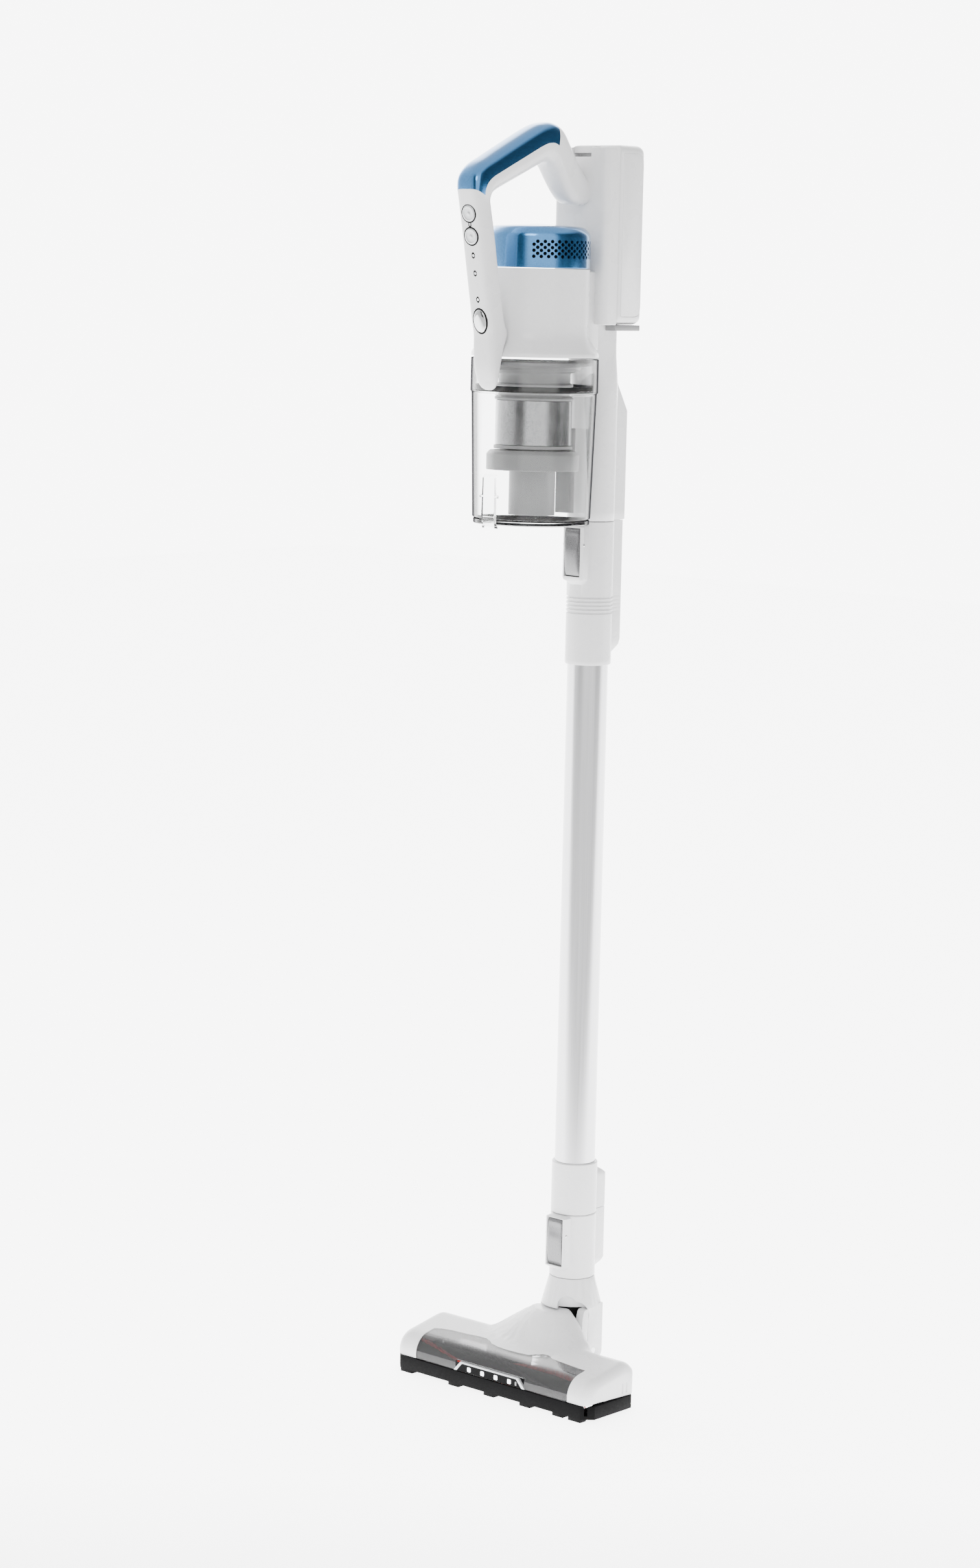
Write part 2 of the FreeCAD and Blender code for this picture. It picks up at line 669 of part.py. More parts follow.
def cyclone():
    finish("cyclone_body", turned([
        (17.5, 781), (20, 781), (20, 836.8), (34, 837.5), (34, 840.5), (29, 840.8), (29, 879), (34, 879),
        (34, 881.5), (31, 882), (31, 902), (52.5, 909), (52.5, 912), (28.5, 912), (28.5, 904), (26.5, 881),
        (26.5, 841), (17.5, 838.5)], "cup_y"))
    finish("cyclone_mesh", ring(33, 32.2, 840.9, 878.7, "cup_y"))
    finish("cyclone_skirt", turned([(38.2, 819), (40, 819), (40, 836.4), (20.1, 836.4), (20.1, 834.4),
                                    (38.2, 834.4)], "cup_y"))
    finish("inlet_duct", block((-8, 8), (-40.2, -33.4), (783, 855)))


# ------------------------------------------------------------------ spine and battery


def main_spine():
    tube = rod("collar_radius", (0, 0, "upper_seam"), 136)
    spigot = rod("spigot_radius", (0, 0, "upper_seam - spigot_length"), "spigot_length + 1")
    rib = slab([(5, "upper_seam"), ("spine_back", "upper_seam"), ("spine_back", 868), (12, 908), (12, 938), (5, 938)],
               "-rib_half - 1", "rib_half + 1")
    neck = block((-17, 17), (-22, 12), (900, 939))
    riser = block((-17, 17), (-22, "holder_back"), (930, 946))
    holder = block(("-holder_half", "holder_half"), ("holder_front", "holder_back"), ("holder_low", "holder_top"))
    soft = rounded(holder, 7, lambda edge: is_upright(edge) and edge.CenterOfMass.y < -20)
    core = block((-27, 27), (-24, -11), ("holder_low + 8", 1088))
    bridge = block((-20, 20), (-45, -20), (922, 990))
    duct = block((-17.8, 17.8), (-46, -23.5), (924.2, 987.8))
    air = rod("spigot_bore", (0, 0, 700), 200)
    chamber = rod("collar_radius - 2.8", (0, 0, "upper_seam + 6"), 116)
    tab_room = block((-12, 12), (-22, -14), (1090, 1110))
    shape = cut(fuse(tube, spigot, rib, neck, riser, soft, bridge), core, duct, air, chamber, tab_room,
                housing_outside())
    finish("main_spine", shape)
    finish("battery_latch", block((-11.7, 11.7), (-21.7, -14.3), (1092.5, "holder_top + 1")))
    finish("battery_dock", block((-28, 28), (-8, 26), (939, "holder_low")))


def battery():
    case = block(("-holder_half + 0.5", "holder_half - 0.5"), ("holder_back + gap", "battery_back"),
                 ("battery_low", "battery_top"))
    soft = rounded(case, 12, lambda edge: edge.CenterOfMass.y > 25)
    inside = block((-27.3, 27.3), (-6, "battery_back - 2"), ("battery_low + wall", "battery_top - wall"))
    room = rounded(inside, 10, lambda edge: edge.CenterOfMass.y > 25)
    finish("battery_case", cut(soft, room))
    places = [(-18.3, 3.2), (0, 3.2), (18.3, 3.2), (-9.2, 18.8), (9.2, 18.8)]
    cells = []
    for layer, count in enumerate((5, 2)):
        low = value("battery_low") + 12 + layer * 70
        for x, y in places[:count]:
            cells.append(rod("cell_radius", (x, y, low), "cell_length"))
    finish("battery_cells", group(*cells))


# ------------------------------------------------------------------ handle and its controls


def leg_point(height, depth):
    """A point in y and z on the front leg: at a height up its face, and a depth in from the face."""
    foot = Vector(0, value("leg_foot_y"), value("leg_foot_z"))
    along = Vector(0, value("leg_top_y"), value("leg_top_z")) - foot
    along.normalize()
    inward = along.cross(ACROSS)
    if inward.y < 0:
        inward = inward * -1
    return foot + along * ((height - foot.z) / along.z) + inward * depth, inward


def leg_slab(low, high, near, far, half):
    """A slab inside the front leg, between two heights and two depths from its face."""
    corners = [leg_point(low, near)[0], leg_point(low, far)[0], leg_point(high, far)[0], leg_point(high, near)[0]]
    return slab([(corner.y, corner.z) for corner in corners], -half, half)


def press_button(name, height, radius, length):
    """A round push button in the leg's face; returns the hole that it runs in."""
    start, inward = leg_point(height, -0.9)
    finish(name, rod(radius, (0, start.y, start.z), length, inward))
    return rod(f"{radius} + 2 * running_fit", (0, start.y, start.z), 8, inward)


def handle():
    leg = slab([("leg_top_y", "leg_top_z - 2"), ("leg_foot_y", "leg_foot_z"), (-148.5, 912), (-143.5, 893),
                (-139.5, 888), (-136.8, 890), (-136.7, 915.2), (-134, 919), (-125, 933), (-125, 941), (-134, 946),
                (-155.2, 1053)], "-handle_half", "handle_half")
    holes = [press_button("power_button", 1036, "press_radius", 4),
             press_button("mode_button", 1017, "press_radius", 4),
             press_button("cup_release_button", 946, "press_radius + 1.2", 4)]
    lamps = []
    for height in (1052, 1001, 986, 964):
        start, inward = leg_point(height, 0)
        holes.append(rod(1.3, (0, start.y, start.z), 4, inward))
        lamps.append(rod(1.3, (0, start.y, start.z), 2.5, inward))
    hollow = leg_slab(952, 1050, 4, 15.5, 9.5)
    finish("handle_front_leg", cut(leg, hollow, housing_outside(), *holes))
    finish("indicator_lamps", group(*lamps))
    finish("control_board", leg_slab(958, 1046, 8.5, 10.1, 8))
    finish("handle_grip", slab([("leg_top_y", "leg_top_z - 2"), (-155.2, 1053), (-146, 1055), (-72, 1082),
                                (-52, 1104), (-56, 1108), (-68, 1106.5), (-150, 1069), (-160, 1060)],
                                "-grip_half", "grip_half"))
    finish("handle_insert", slab([("leg_top_y", "leg_top_z - 2"), (-160, 1060), (-150, 1069), (-68, 1106.5),
                                  (-56, 1108), (-62, 1113.5), (-74, 1116.5), (-86, 1115), (-166, 1080),
                                  (-173, 1071)],
                                 "-grip_half", "grip_half"))
    finish("handle_rear_leg", slab([(-72, 1082), (-50, 1049), ("holder_front", 1047), ("holder_front", 1072),
                                    (-52, 1104)], "-handle_half", "handle_half"))


# ------------------------------------------------------------------ the whole machine


def main():
    head_top_cover()
    brush_window()
    head_sole_plate()
    light_bar()
    brush_drive()
    brush_roll()
    head_small_parts()
    neck_yoke()
    air_elbow()
    neck_coupling()
    wand_lower_collar()
    finish("wand_tube", ring("tube_radius", "tube_radius - tube_wall", "tube_low", "tube_high"))
    wand_upper_collar()
    motor_housing()
    fan_parts()
    dust_cup()
    cup_door()
    door_latch()
    cyclone()
    main_spine()
    battery()
    handle()
    doc.recompute()
    check()
    os.makedirs("parts", exist_ok=True)
    for thing in finished_parts:
        thing.Shape.exportStep(f"parts/{thing.Label}.step")
    print(len(finished_parts), "sub-parts written")


def check():
    """Stops with a plain message if anything failed to build."""
    for thing in doc.Objects:
        if "Invalid" in thing.State or "Error" in thing.State:
            raise RuntimeError(f"{thing.Name} failed: {thing.State}")
    for thing in finished_parts:
        if thing.Shape.isNull() or not thing.Shape.isValid():
            raise RuntimeError(f"{thing.Label} has no valid shape")


main()
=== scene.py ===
import json
import math
import random

import bmesh
import bpy
from mathutils import Matrix, Vector


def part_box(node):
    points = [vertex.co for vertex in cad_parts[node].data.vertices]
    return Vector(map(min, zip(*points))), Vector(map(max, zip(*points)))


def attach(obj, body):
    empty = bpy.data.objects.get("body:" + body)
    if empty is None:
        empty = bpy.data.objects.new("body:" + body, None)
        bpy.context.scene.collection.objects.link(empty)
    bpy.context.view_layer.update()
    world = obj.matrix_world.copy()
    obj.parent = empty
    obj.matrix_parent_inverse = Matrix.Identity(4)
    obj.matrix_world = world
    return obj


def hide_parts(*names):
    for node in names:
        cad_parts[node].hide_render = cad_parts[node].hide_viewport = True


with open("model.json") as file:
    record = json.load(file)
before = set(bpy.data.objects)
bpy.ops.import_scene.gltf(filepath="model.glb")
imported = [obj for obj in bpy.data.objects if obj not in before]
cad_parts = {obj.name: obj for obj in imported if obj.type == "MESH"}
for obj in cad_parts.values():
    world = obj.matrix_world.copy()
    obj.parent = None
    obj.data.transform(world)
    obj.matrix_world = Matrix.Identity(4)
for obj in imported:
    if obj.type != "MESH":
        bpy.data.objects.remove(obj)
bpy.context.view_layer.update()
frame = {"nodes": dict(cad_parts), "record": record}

# Cordless upright vacuum cleaner. Lengths are in metres, in the row frame: +Z up, the front faces -Y.

MM = 0.001


# ---------------- materials


class Shader:
    """One procedural material, built from named nodes."""

    def __init__(self, name):
        self.name = name
        self.material = bpy.data.materials.new(name)
        self.material.use_nodes = True
        self.tree = self.material.node_tree
        self.shader = self.tree.nodes["Principled BSDF"]
        self.place = self.tree.nodes.new("ShaderNodeTexCoord").outputs["Object"]

    def set(self, **inputs):
        for key, value in inputs.items():
            self.shader.inputs[key.replace("_", " ")].default_value = value
        return self

    def node(self, kind, **values):
        made = self.tree.nodes.new(kind)
        for key, value in values.items():
            if key in made.inputs:
                made.inputs[key].default_value = value
            else:
                setattr(made, key, value)
        return made

    def link(self, start, end):
        self.tree.links.new(start, end)

    def stretched(self, x, y, z):
        """Object coordinates, scaled on each axis."""
        mapping = self.node("ShaderNodeMapping")
        mapping.inputs["Scale"].default_value = (x, y, z)
        self.link(self.place, mapping.inputs["Vector"])
        return mapping.outputs["Vector"]

    def noise(self, scale, detail=3.0, source=None):
        made = self.node("ShaderNodeTexNoise", Scale=scale, Detail=detail)
        self.link(source or self.place, made.inputs["Vector"])
        return made.outputs["Fac"]

    def ramp(self, source, low, high, out_low=0.0, out_high=1.0):
        made = self.node("ShaderNodeMapRange")
        for key, value in (("From Min", low), ("From Max", high), ("To Min", out_low), ("To Max", out_high)):
            made.inputs[key].default_value = value
        self.link(source, made.inputs["Value"])
        return made.outputs["Result"]

    def colour(self, factor, first, second):
        made = self.node("ShaderNodeMix", data_type="RGBA")
        self.link(factor, made.inputs["Factor"])
        made.inputs[6].default_value = (*first, 1)
        made.inputs[7].default_value = (*second, 1)
        self.link(made.outputs[2], self.shader.inputs["Base Color"])
        return self

    def roughness(self, factor, low, high):
        self.link(self.ramp(factor, 0.3, 0.7, low, high), self.shader.inputs["Roughness"])
        return self

    def bump(self, source, distance, strength=1.0):
        made = self.node("ShaderNodeBump", Strength=strength, Distance=distance)
        self.link(source, made.inputs["Height"])
        self.link(made.outputs["Normal"], self.shader.inputs["Normal"])
        return self


def grained(name, scale, detail, dark, light, rough, *, stretch=None, band=None, tint=None, relief=None,
            **surface):
    """A material that follows one grain. tint is a coarser grain for its colour alone."""
    made = Shader(name).set(**surface)
    grain = made.noise(scale, detail, made.stretched(*stretch) if stretch else None)
    shade = made.noise(*tint) if tint else grain
    made.colour(made.ramp(shade, *band) if band else shade, dark, light).roughness(grain, *rough)
    return made.bump(grain, *relief) if relief else made


def white_gloss():
    """Glossy white moulding: a faint orange-peel ripple, and a roughness that varies a little."""
    made = Shader("white_gloss").set(IOR=1.5, Specular_IOR_Level=0.3, Coat_Weight=0.15, Coat_Roughness=0.12)
    ripple = made.noise(220, 2)
    made.colour(made.noise(14, 2), (0.63, 0.63, 0.635), (0.67, 0.67, 0.675))
    return made.roughness(made.noise(60, 3), 0.24, 0.33).bump(ripple, 0.00003, 0.25)


def clear_plastic():
    """Clear polycarbonate: almost colourless seen straight through. Where its wall is seen edge on it turns
    dark and stops letting light through: painted shade, standing in for the dark surroundings seen in the
    wall there.
    """
    made = Shader("clear_plastic").set(IOR=1.35, Specular_IOR_Level=0.0)
    wipes = made.noise(1.0, 4, made.stretched(60, 60, 14))
    edge = made.node("ShaderNodeLayerWeight", Blend=0.5).outputs["Facing"]
    # Painted shade: edge on, the wall loses its transmission and its colour turns near black, for the dark
    # surroundings seen in it.
    made.link(made.ramp(edge, 0.60, 0.80, 1.0, 0.0), made.shader.inputs["Transmission Weight"])
    made.colour(made.ramp(edge, 0.52, 0.74), (0.97, 0.975, 0.975), (0.03, 0.03, 0.032))
    return made.roughness(wipes, 0.01, 0.05)


def steel_mesh():
    """Perforated steel: rows of fine holes, darker than the metal round them. The holes are painted near
    black: painted shade, for the dark seen through them.
    """
    made = Shader("steel_mesh").set(Metallic=1.0)
    holes = made.node("ShaderNodeTexVoronoi", Scale=1100.0)
    made.link(made.place, holes.inputs["Vector"])
    metal = made.ramp(holes.outputs["Distance"], 0.18, 0.34)
    # Painted shade: the holes take a near black colour for the dark behind the mesh.
    made.colour(metal, (0.04, 0.04, 0.04), (0.34, 0.34, 0.345))
    return made.roughness(made.noise(80, 3), 0.18, 0.27).bump(metal, 0.00003, 0.3)


def lamp_lens():
    """White lamp behind a frosted lens."""
    made = Shader("lamp_lens").set(Roughness=0.25, Emission_Strength=1.6, Emission_Color=(0.92, 0.96, 1.0, 1))
    return made.colour(made.noise(500, 2), (0.92, 0.94, 0.97), (1.0, 1.0, 1.0))


FLAKES = (0.35, 0.7)
STRANDS = (0.3, 0.7)
MADE = [
    white_gloss(),
    clear_plastic(),
    steel_mesh(),
    lamp_lens(),
    # Lacquers with fine metal flakes
    grained("blue_metallic", 2600, 1, (0.03, 0.14, 0.33), (0.06, 0.22, 0.46), (0.14, 0.22), band=FLAKES,
            relief=(0.00001, 0.05), Metallic=0.9, Coat_Weight=0.6, Coat_Roughness=0.08),
    grained("grey_metallic", 2400, 1, (0.12, 0.12, 0.123), (0.18, 0.18, 0.184), (0.24, 0.36), band=FLAKES,
            Metallic=0.85, Coat_Weight=0.3, Coat_Roughness=0.15),
    # Metals: bright, drawn, brushed and turned
    grained("bright_metal", 90, 4, (0.42, 0.425, 0.43), (0.55, 0.555, 0.56), (0.06, 0.14), Metallic=1.0),
    grained("satin_aluminium", 1.0, 2, (0.50, 0.50, 0.51), (0.60, 0.60, 0.61), (0.17, 0.25),
            stretch=(1800, 1800, 6), relief=(0.00001, 0.2), Metallic=0.95, Anisotropic=0.4),
    grained("steel", 200, 4, (0.50, 0.50, 0.51), (0.66, 0.66, 0.67), (0.2, 0.35), Metallic=1.0),
    grained("motor_can", 1.0, 3, (0.30, 0.30, 0.31), (0.44, 0.44, 0.45), (0.3, 0.45),
            stretch=(40, 40, 1500), Metallic=0.9),
    # Plastics and rubber, with a fine spark-eroded grain
    grained("smoke_plastic", 1.0, 4, (0.28, 0.28, 0.285), (0.34, 0.34, 0.345), (0.03, 0.10),
            stretch=(14, 60, 60), IOR=1.35, Transmission_Weight=0.95, Specular_IOR_Level=0.35),
    grained("black_plastic", 900, 3, (0.002, 0.002, 0.0021), (0.004, 0.004, 0.0043), (0.42, 0.62),
            tint=(30, 3), relief=(0.00005, 0.4), IOR=1.48, Specular_IOR_Level=0.04),
    grained("silver_plastic", 1400, 2, (0.42, 0.43, 0.44), (0.55, 0.56, 0.57), (0.3, 0.42), Metallic=0.5),
    grained("grey_plastic", 700, 3, (0.19, 0.19, 0.193), (0.25, 0.25, 0.254), (0.35, 0.48), tint=(25, 2),
            relief=(0.00003, 0.3), IOR=1.48),
    grained("black_rubber", 600, 3, (0.010, 0.010, 0.010), (0.022, 0.022, 0.022), (0.5, 0.7), tint=(40, 3),
            relief=(0.00004, 0.3), IOR=1.45, Specular_IOR_Level=0.3),
    grained("roll_core", 300, 3, (0.020, 0.020, 0.022), (0.045, 0.045, 0.048), (0.4, 0.6),
            relief=(0.00008, 0.3), IOR=1.45),
    grained("circuit_board", 160, 1, (0.01, 0.10, 0.04), (0.03, 0.20, 0.09), (0.3, 0.4), band=(0.48, 0.52),
            IOR=1.5),
    grained("cell_wrap", 90, 3, (0.03, 0.12, 0.28), (0.05, 0.18, 0.38), (0.25, 0.35), IOR=1.5),
    # Nylon tufts and felt: each strand a little lighter or darker than the next
    grained("red_bristle", 1600, 2, (0.70, 0.03, 0.025), (1.0, 0.15, 0.11), (0.4, 0.6), band=STRANDS,
            IOR=1.5, Sheen_Weight=0.3),
    grained("grey_bristle", 1600, 2, (0.05, 0.05, 0.052), (0.16, 0.16, 0.165), (0.4, 0.6), band=STRANDS,
            IOR=1.5, Sheen_Weight=0.3),
    grained("filter_felt", 1300, 5, (0.48, 0.48, 0.46), (0.72, 0.72, 0.70), (0.8, 0.95),
            relief=(0.0003, 0.6), Sheen_Weight=0.4),
]
MATERIALS = {made.name: made for made in MADE}


def paint(obj, slot):
    obj.data.materials.clear()
    obj.data.materials.append(MATERIALS[slot].material)


def paint_cad_nodes():
    """Every CAD node that stays visible takes the material of its slot."""
    for row in frame["record"]["subparts"]:
        paint(frame["nodes"][row["node"]], row["material_slot"])


# ---------------- floor, lights and camera


# Brightness of the surroundings by direction, in degrees from +X about the upright axis
WORLD_TURN = [(-180, 4.5), (-150, 2.0), (-112, 1.4), (-99, 0.04), (-80, 0.04), (-68, 2.6), (-12, 2.6),
              (0, 0.2), (28, 0.04), (62, 0.1), (84, 0.5), (100, 5.5), (112, 8.0), (165, 8.0), (180, 4.5)]
BRIGHTEST = 10.0
OVERHEAD = 1.8
TOWARDS_CAMERA = (0.66, -0.75, 0)
CAMERA_PLACE = (2.0798, -2.3937, 0.989)
CAMERA_TURNS = [math.radians(degrees) for degrees in (41.3, 5.2, 1.372)]


def studio_world():
    """Soft boxes and dark flags all round, as they show in glossy and metal surfaces. White lies behind."""
    world = bpy.data.worlds.new("studio")
    bpy.context.scene.world = world
    world.use_nodes = True
    tree = world.node_tree
    link = tree.links.new

    def math_node(operation, first, second):
        made = tree.nodes.new("ShaderNodeMath")
        made.operation = operation
        for index, value in enumerate((first, second)):
            if isinstance(value, (int, float)):
                made.inputs[index].default_value = value
            else:
                link(value, made.inputs[index])
        return made.outputs[0]

    split = tree.nodes.new("ShaderNodeSeparateXYZ")
    link(tree.nodes.new("ShaderNodeTexCoord").outputs["Generated"], split.inputs[0])
    angle = math_node("ARCTAN2", split.outputs["Y"], split.outputs["X"])
    ramp = tree.nodes.new("ShaderNodeValToRGB")
    link(math_node("MULTIPLY_ADD", angle, 1 / (2 * math.pi)), ramp.inputs[0])
    ramp.inputs[0].links[0].from_node.inputs[2].default_value = 0.5
    stops = ramp.color_ramp.elements
    while len(stops) < len(WORLD_TURN):
        stops.new(0.5)
    for stop, (degrees, level) in zip(stops, WORLD_TURN):
        stop.position = (degrees + 180) / 360
        stop.color = (*[level / BRIGHTEST] * 3, 1)
    around = math_node("MULTIPLY", ramp.outputs[0], BRIGHTEST)
    above = tree.nodes.new("ShaderNodeMapRange")
    above.inputs["From Min"].default_value = 0.55
    above.inputs["From Max"].default_value = 0.8
    link(split.outputs["Z"], above.inputs["Value"])
    blend = tree.nodes.new("ShaderNodeMix")
    link(above.outputs["Result"], blend.inputs["Factor"])
    link(around, blend.inputs[2])
    blend.inputs[3].default_value = OVERHEAD
    link(blend.outputs[0], tree.nodes["Background"].inputs["Strength"])
    tree.nodes["Background"].inputs["Color"].default_value = (1, 1, 1, 1)


def studio():
    bpy.ops.mesh.primitive_plane_add(size=14, location=(0, 0, 0))
    floor = bpy.context.object
    floor.name = "studio_floor"
    made = Shader("studio_floor_painted_light").set(Roughness=0.9)
    # Painted light: the floor glows, brightest and palest round and behind the machine, dimmer and greyer
    # towards the camera, standing in for the studio lamps' light falling on it.
    towards = made.node("ShaderNodeVectorMath", operation="DOT_PRODUCT")
    made.link(made.place, towards.inputs[0])
    towards.inputs[1].default_value = TOWARDS_CAMERA
    distance = towards.outputs["Value"]
    made.link(made.ramp(distance, 0.25, 1.1, 5.5, 0.7), made.shader.inputs["Emission Strength"])
    made.colour(made.ramp(distance, 0.25, 1.1), (0.91, 0.91, 0.91), (0.45, 0.45, 0.45))
    made.shader.inputs["Emission Color"].default_value = (1, 1, 1, 1)
    floor.data.materials.append(made.material)
    studio_world()
    lamps = [
        ("key", (1.2, -2.6, 2.4), (0, 0, 0.8), 1.2, 34),
        ("rim", (-2.4, 0.6, 1.8), (0, 0, 0.7), 1.0, 16),
    ]
    for name, place, target, size, power in lamps:
        data = bpy.data.lights.new(name, "AREA")
        data.shape = "SQUARE"
        data.size = size
        data.energy = power
        lamp = bpy.data.objects.new(name, data)
        bpy.context.scene.collection.objects.link(lamp)
        lamp.location = place
        aim = Vector(target) - Vector(place)
        lamp.rotation_euler = aim.to_track_quat("-Z", "Y").to_euler()


def camera():
    """About a metre up, in front and to the machine's left, turned a little on its own axis."""
    azimuth, pitch, roll = CAMERA_TURNS
    right = Vector((math.cos(azimuth), math.sin(azimuth), 0))
    level = Vector((-math.sin(azimuth), math.cos(azimuth), 0))
    ahead = level * math.cos(pitch) - Vector((0, 0, math.sin(pitch)))
    above = right.cross(ahead)
    side = right * math.cos(roll) + above * math.sin(roll)
    top = above * math.cos(roll) - right * math.sin(roll)
    data = bpy.data.cameras.new("camera")
    data.lens = 83.98
    data.shift_x = -0.0119
    data.shift_y = -0.115
    view = bpy.data.objects.new("camera", data)
    bpy.context.scene.collection.objects.link(view)
    turn = Matrix((side, top, -ahead)).transposed().to_4x4()
    view.matrix_world = Matrix.Translation(CAMERA_PLACE) @ turn
    bpy.context.scene.camera = view


# ---------------- mesh tools


def box_middle(node):
    low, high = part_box(node)
    return [(low[axis] + high[axis]) / 2 for axis in range(3)]


WAND_X, WAND_Y = box_middle("wand_tube")[:2]
CUP_X, CUP_Y = box_middle("motor_housing")[:2]
HEAD_X = box_middle("head_sole_plate")[0]


def at(x, y, z):
    """A point given in millimetres from the wand's axis, with its height from the floor."""
    return Vector((WAND_X + x * MM, WAND_Y + y * MM, z * MM))


def on_head(x, y, z):
    """A point given in millimetres from the middle of the floor head."""
    return Vector((HEAD_X + x * MM, WAND_Y + y * MM, z * MM))


def on_cup(x, y, z):
    """A point given in millimetres from the axis of the cup and the motor."""
    return Vector((CUP_X + x * MM, CUP_Y + y * MM, z * MM))


def piece(name, verts, faces, slot, body, *nodes, sharp=40):
    """A finished mesh: joined, turned outwards, shaded smooth up to an angle, and handed to its body."""
    mesh = bpy.data.meshes.new(name)
    mesh.from_pydata([tuple(v) for v in verts], [], faces)
    obj = bpy.data.objects.new(name, mesh)
    bpy.context.scene.collection.objects.link(obj)
    clean(obj, sharp)
    paint(obj, slot)
    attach(obj, body)
    if nodes:
        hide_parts(*nodes)
    return obj


def clean(obj, sharp=40):
    work = bmesh.new()
    work.from_mesh(obj.data)
    bmesh.ops.remove_doubles(work, verts=work.verts, dist=2e-6)
    bmesh.ops.dissolve_degenerate(work, edges=work.edges, dist=1e-6)
    bmesh.ops.recalc_face_normals(work, faces=work.faces)
    limit = math.radians(sharp)
    for face in work.faces:
        face.smooth = True
    for edge in work.edges:
        edge.smooth = len(edge.link_faces) == 2 and edge.calc_face_angle(0) < limit
    work.to_mesh(obj.data)
    work.free()


def loft(rings, caps=True, closed=False):
    """Quads between rings of the same number of points."""
    count = len(rings[0])
    verts = [point for ring in rings for point in ring]
    faces = []
    last = len(rings) if closed else len(rings) - 1
    for row in range(last):
        a = row * count
        b = (row + 1) % len(rings) * count
        for index in range(count):
            after = (index + 1) % count
            faces.append((a + index, a + after, b + after, b + index))
    if caps and not closed:
        faces.append(tuple(range(count)))
        faces.append(tuple((len(rings) - 1) * count + index for index in reversed(range(count))))
    return verts, faces


def soft_corners(points, radius, steps=5, closed=True):
    """A line of points with each corner rounded."""
    result = []
    count = len(points)
    for index, (x, y) in enumerate(points):
        amount = radius[index] if isinstance(radius, (list, tuple)) else radius
        if amount <= 0 or (not closed and index in (0, count - 1)):
            result.append((x, y))
            continue
        here = Vector((x, y))
        before = Vector(points[index - 1]) - here
        after = Vector(points[(index + 1) % count]) - here
        reach = min(amount, before.length * 0.48, after.length * 0.48)
        start = here + before.normalized() * reach
        end = here + after.normalized() * reach
        for step in range(steps + 1):
            t = step / steps
            spot = start * (1 - t) ** 2 + here * 2 * t * (1 - t) + end * t ** 2
            result.append((spot.x, spot.y))
    return result


def turned(profile, place, segments=96, closed=False):
    """A profile in radius and height, turned about an upright axis. place() makes the points."""
    rings = []
    for radius, height in profile:
        ring = []
        for index in range(segments):
            angle = 2 * math.pi * index / segments
            ring.append(place(radius * math.cos(angle), radius * math.sin(angle), height))
        rings.append(ring)
    return loft(rings, caps=not closed, closed=closed)


def listed(work):
    """The vertices and faces of a working mesh, which is then let go."""
    work.verts.index_update()
    verts = [vert.co.copy() for vert in work.verts]
    faces = [tuple(vert.index for vert in face.verts) for face in work.faces]
    work.free()
    return verts, faces


def bevelled(outline, low, high, place, bevel, segments=3):
    """A prism on an outline, with every edge rounded. place(u, v, w) puts outline (u, v) at height w."""
    work = bmesh.new()
    bottom = [work.verts.new(place(u, v, low)) for u, v in outline]
    top = [work.verts.new(place(u, v, high)) for u, v in outline]
    work.faces.new(bottom)
    work.faces.new(list(reversed(top)))
    count = len(outline)
    for index in range(count):
        after = (index + 1) % count
        work.faces.new((bottom[index], top[index], top[after], bottom[after]))
    bmesh.ops.recalc_face_normals(work, faces=work.faces)
    rims = [edge for edge in work.edges if edge.calc_face_angle(0) > math.radians(35)]
    bmesh.ops.bevel(work, geom=rims, offset=bevel * MM, segments=segments, profile=0.5, affect="EDGES",
                    clamp_overlap=True)
    return listed(work)


def joined(*parts):
    """Several closed shells in one mesh."""
    verts = []
    faces = []
    for part_verts, part_faces in parts:
        start = len(verts)
        verts += part_verts
        faces += [tuple(start + index for index in face) for face in part_faces]
    return verts, faces


def carve(obj, tool, sharp=40):
    """Cuts a mesh, given as vertices and faces, out of an object."""
    mesh = bpy.data.meshes.new("tool")
    mesh.from_pydata([tuple(v) for v in tool[0]], [], tool[1])
    cutter = bpy.data.objects.new("tool", mesh)
    bpy.context.scene.collection.objects.link(cutter)
    clean(cutter)
    modifier = obj.modifiers.new("cut", "BOOLEAN")
    modifier.operation = "DIFFERENCE"
    modifier.solver = "EXACT"
    modifier.object = cutter
    graph = bpy.context.evaluated_depsgraph_get()
    result = bpy.data.meshes.new_from_object(obj.evaluated_get(graph))
    obj.modifiers.clear()
    obj.data = result
    bpy.data.objects.remove(cutter)
    clean(obj, sharp)


def smooth_line(points, per_span):
    """Points on a Catmull-Rom curve through the given ones, of any number of values each."""
    result = []
    for index in range(len(points) - 1):
        four = [points[min(len(points) - 1, max(0, index + step))] for step in (-1, 0, 1, 2)]
        for step in range(per_span):
            t = step / per_span
            weights = ((-t ** 3 + 2 * t ** 2 - t) / 2, (3 * t ** 3 - 5 * t ** 2 + 2) / 2,
                       (-3 * t ** 3 + 4 * t ** 2 + t) / 2, (t ** 3 - t ** 2) / 2)
            result.append(tuple(sum(w * v for w, v in zip(weights, values)) for values in zip(*four)))
    result.append(tuple(points[-1]))
    return result


def mix(a, b, t):
    return a + (b - a) * t


def step_between(value, low, high):
    """0 below low, 1 above high, and a smooth rise between."""
    t = min(1, max(0, (value - low) / (high - low)))
    return t * t * (3 - 2 * t)


# ---------------- handle

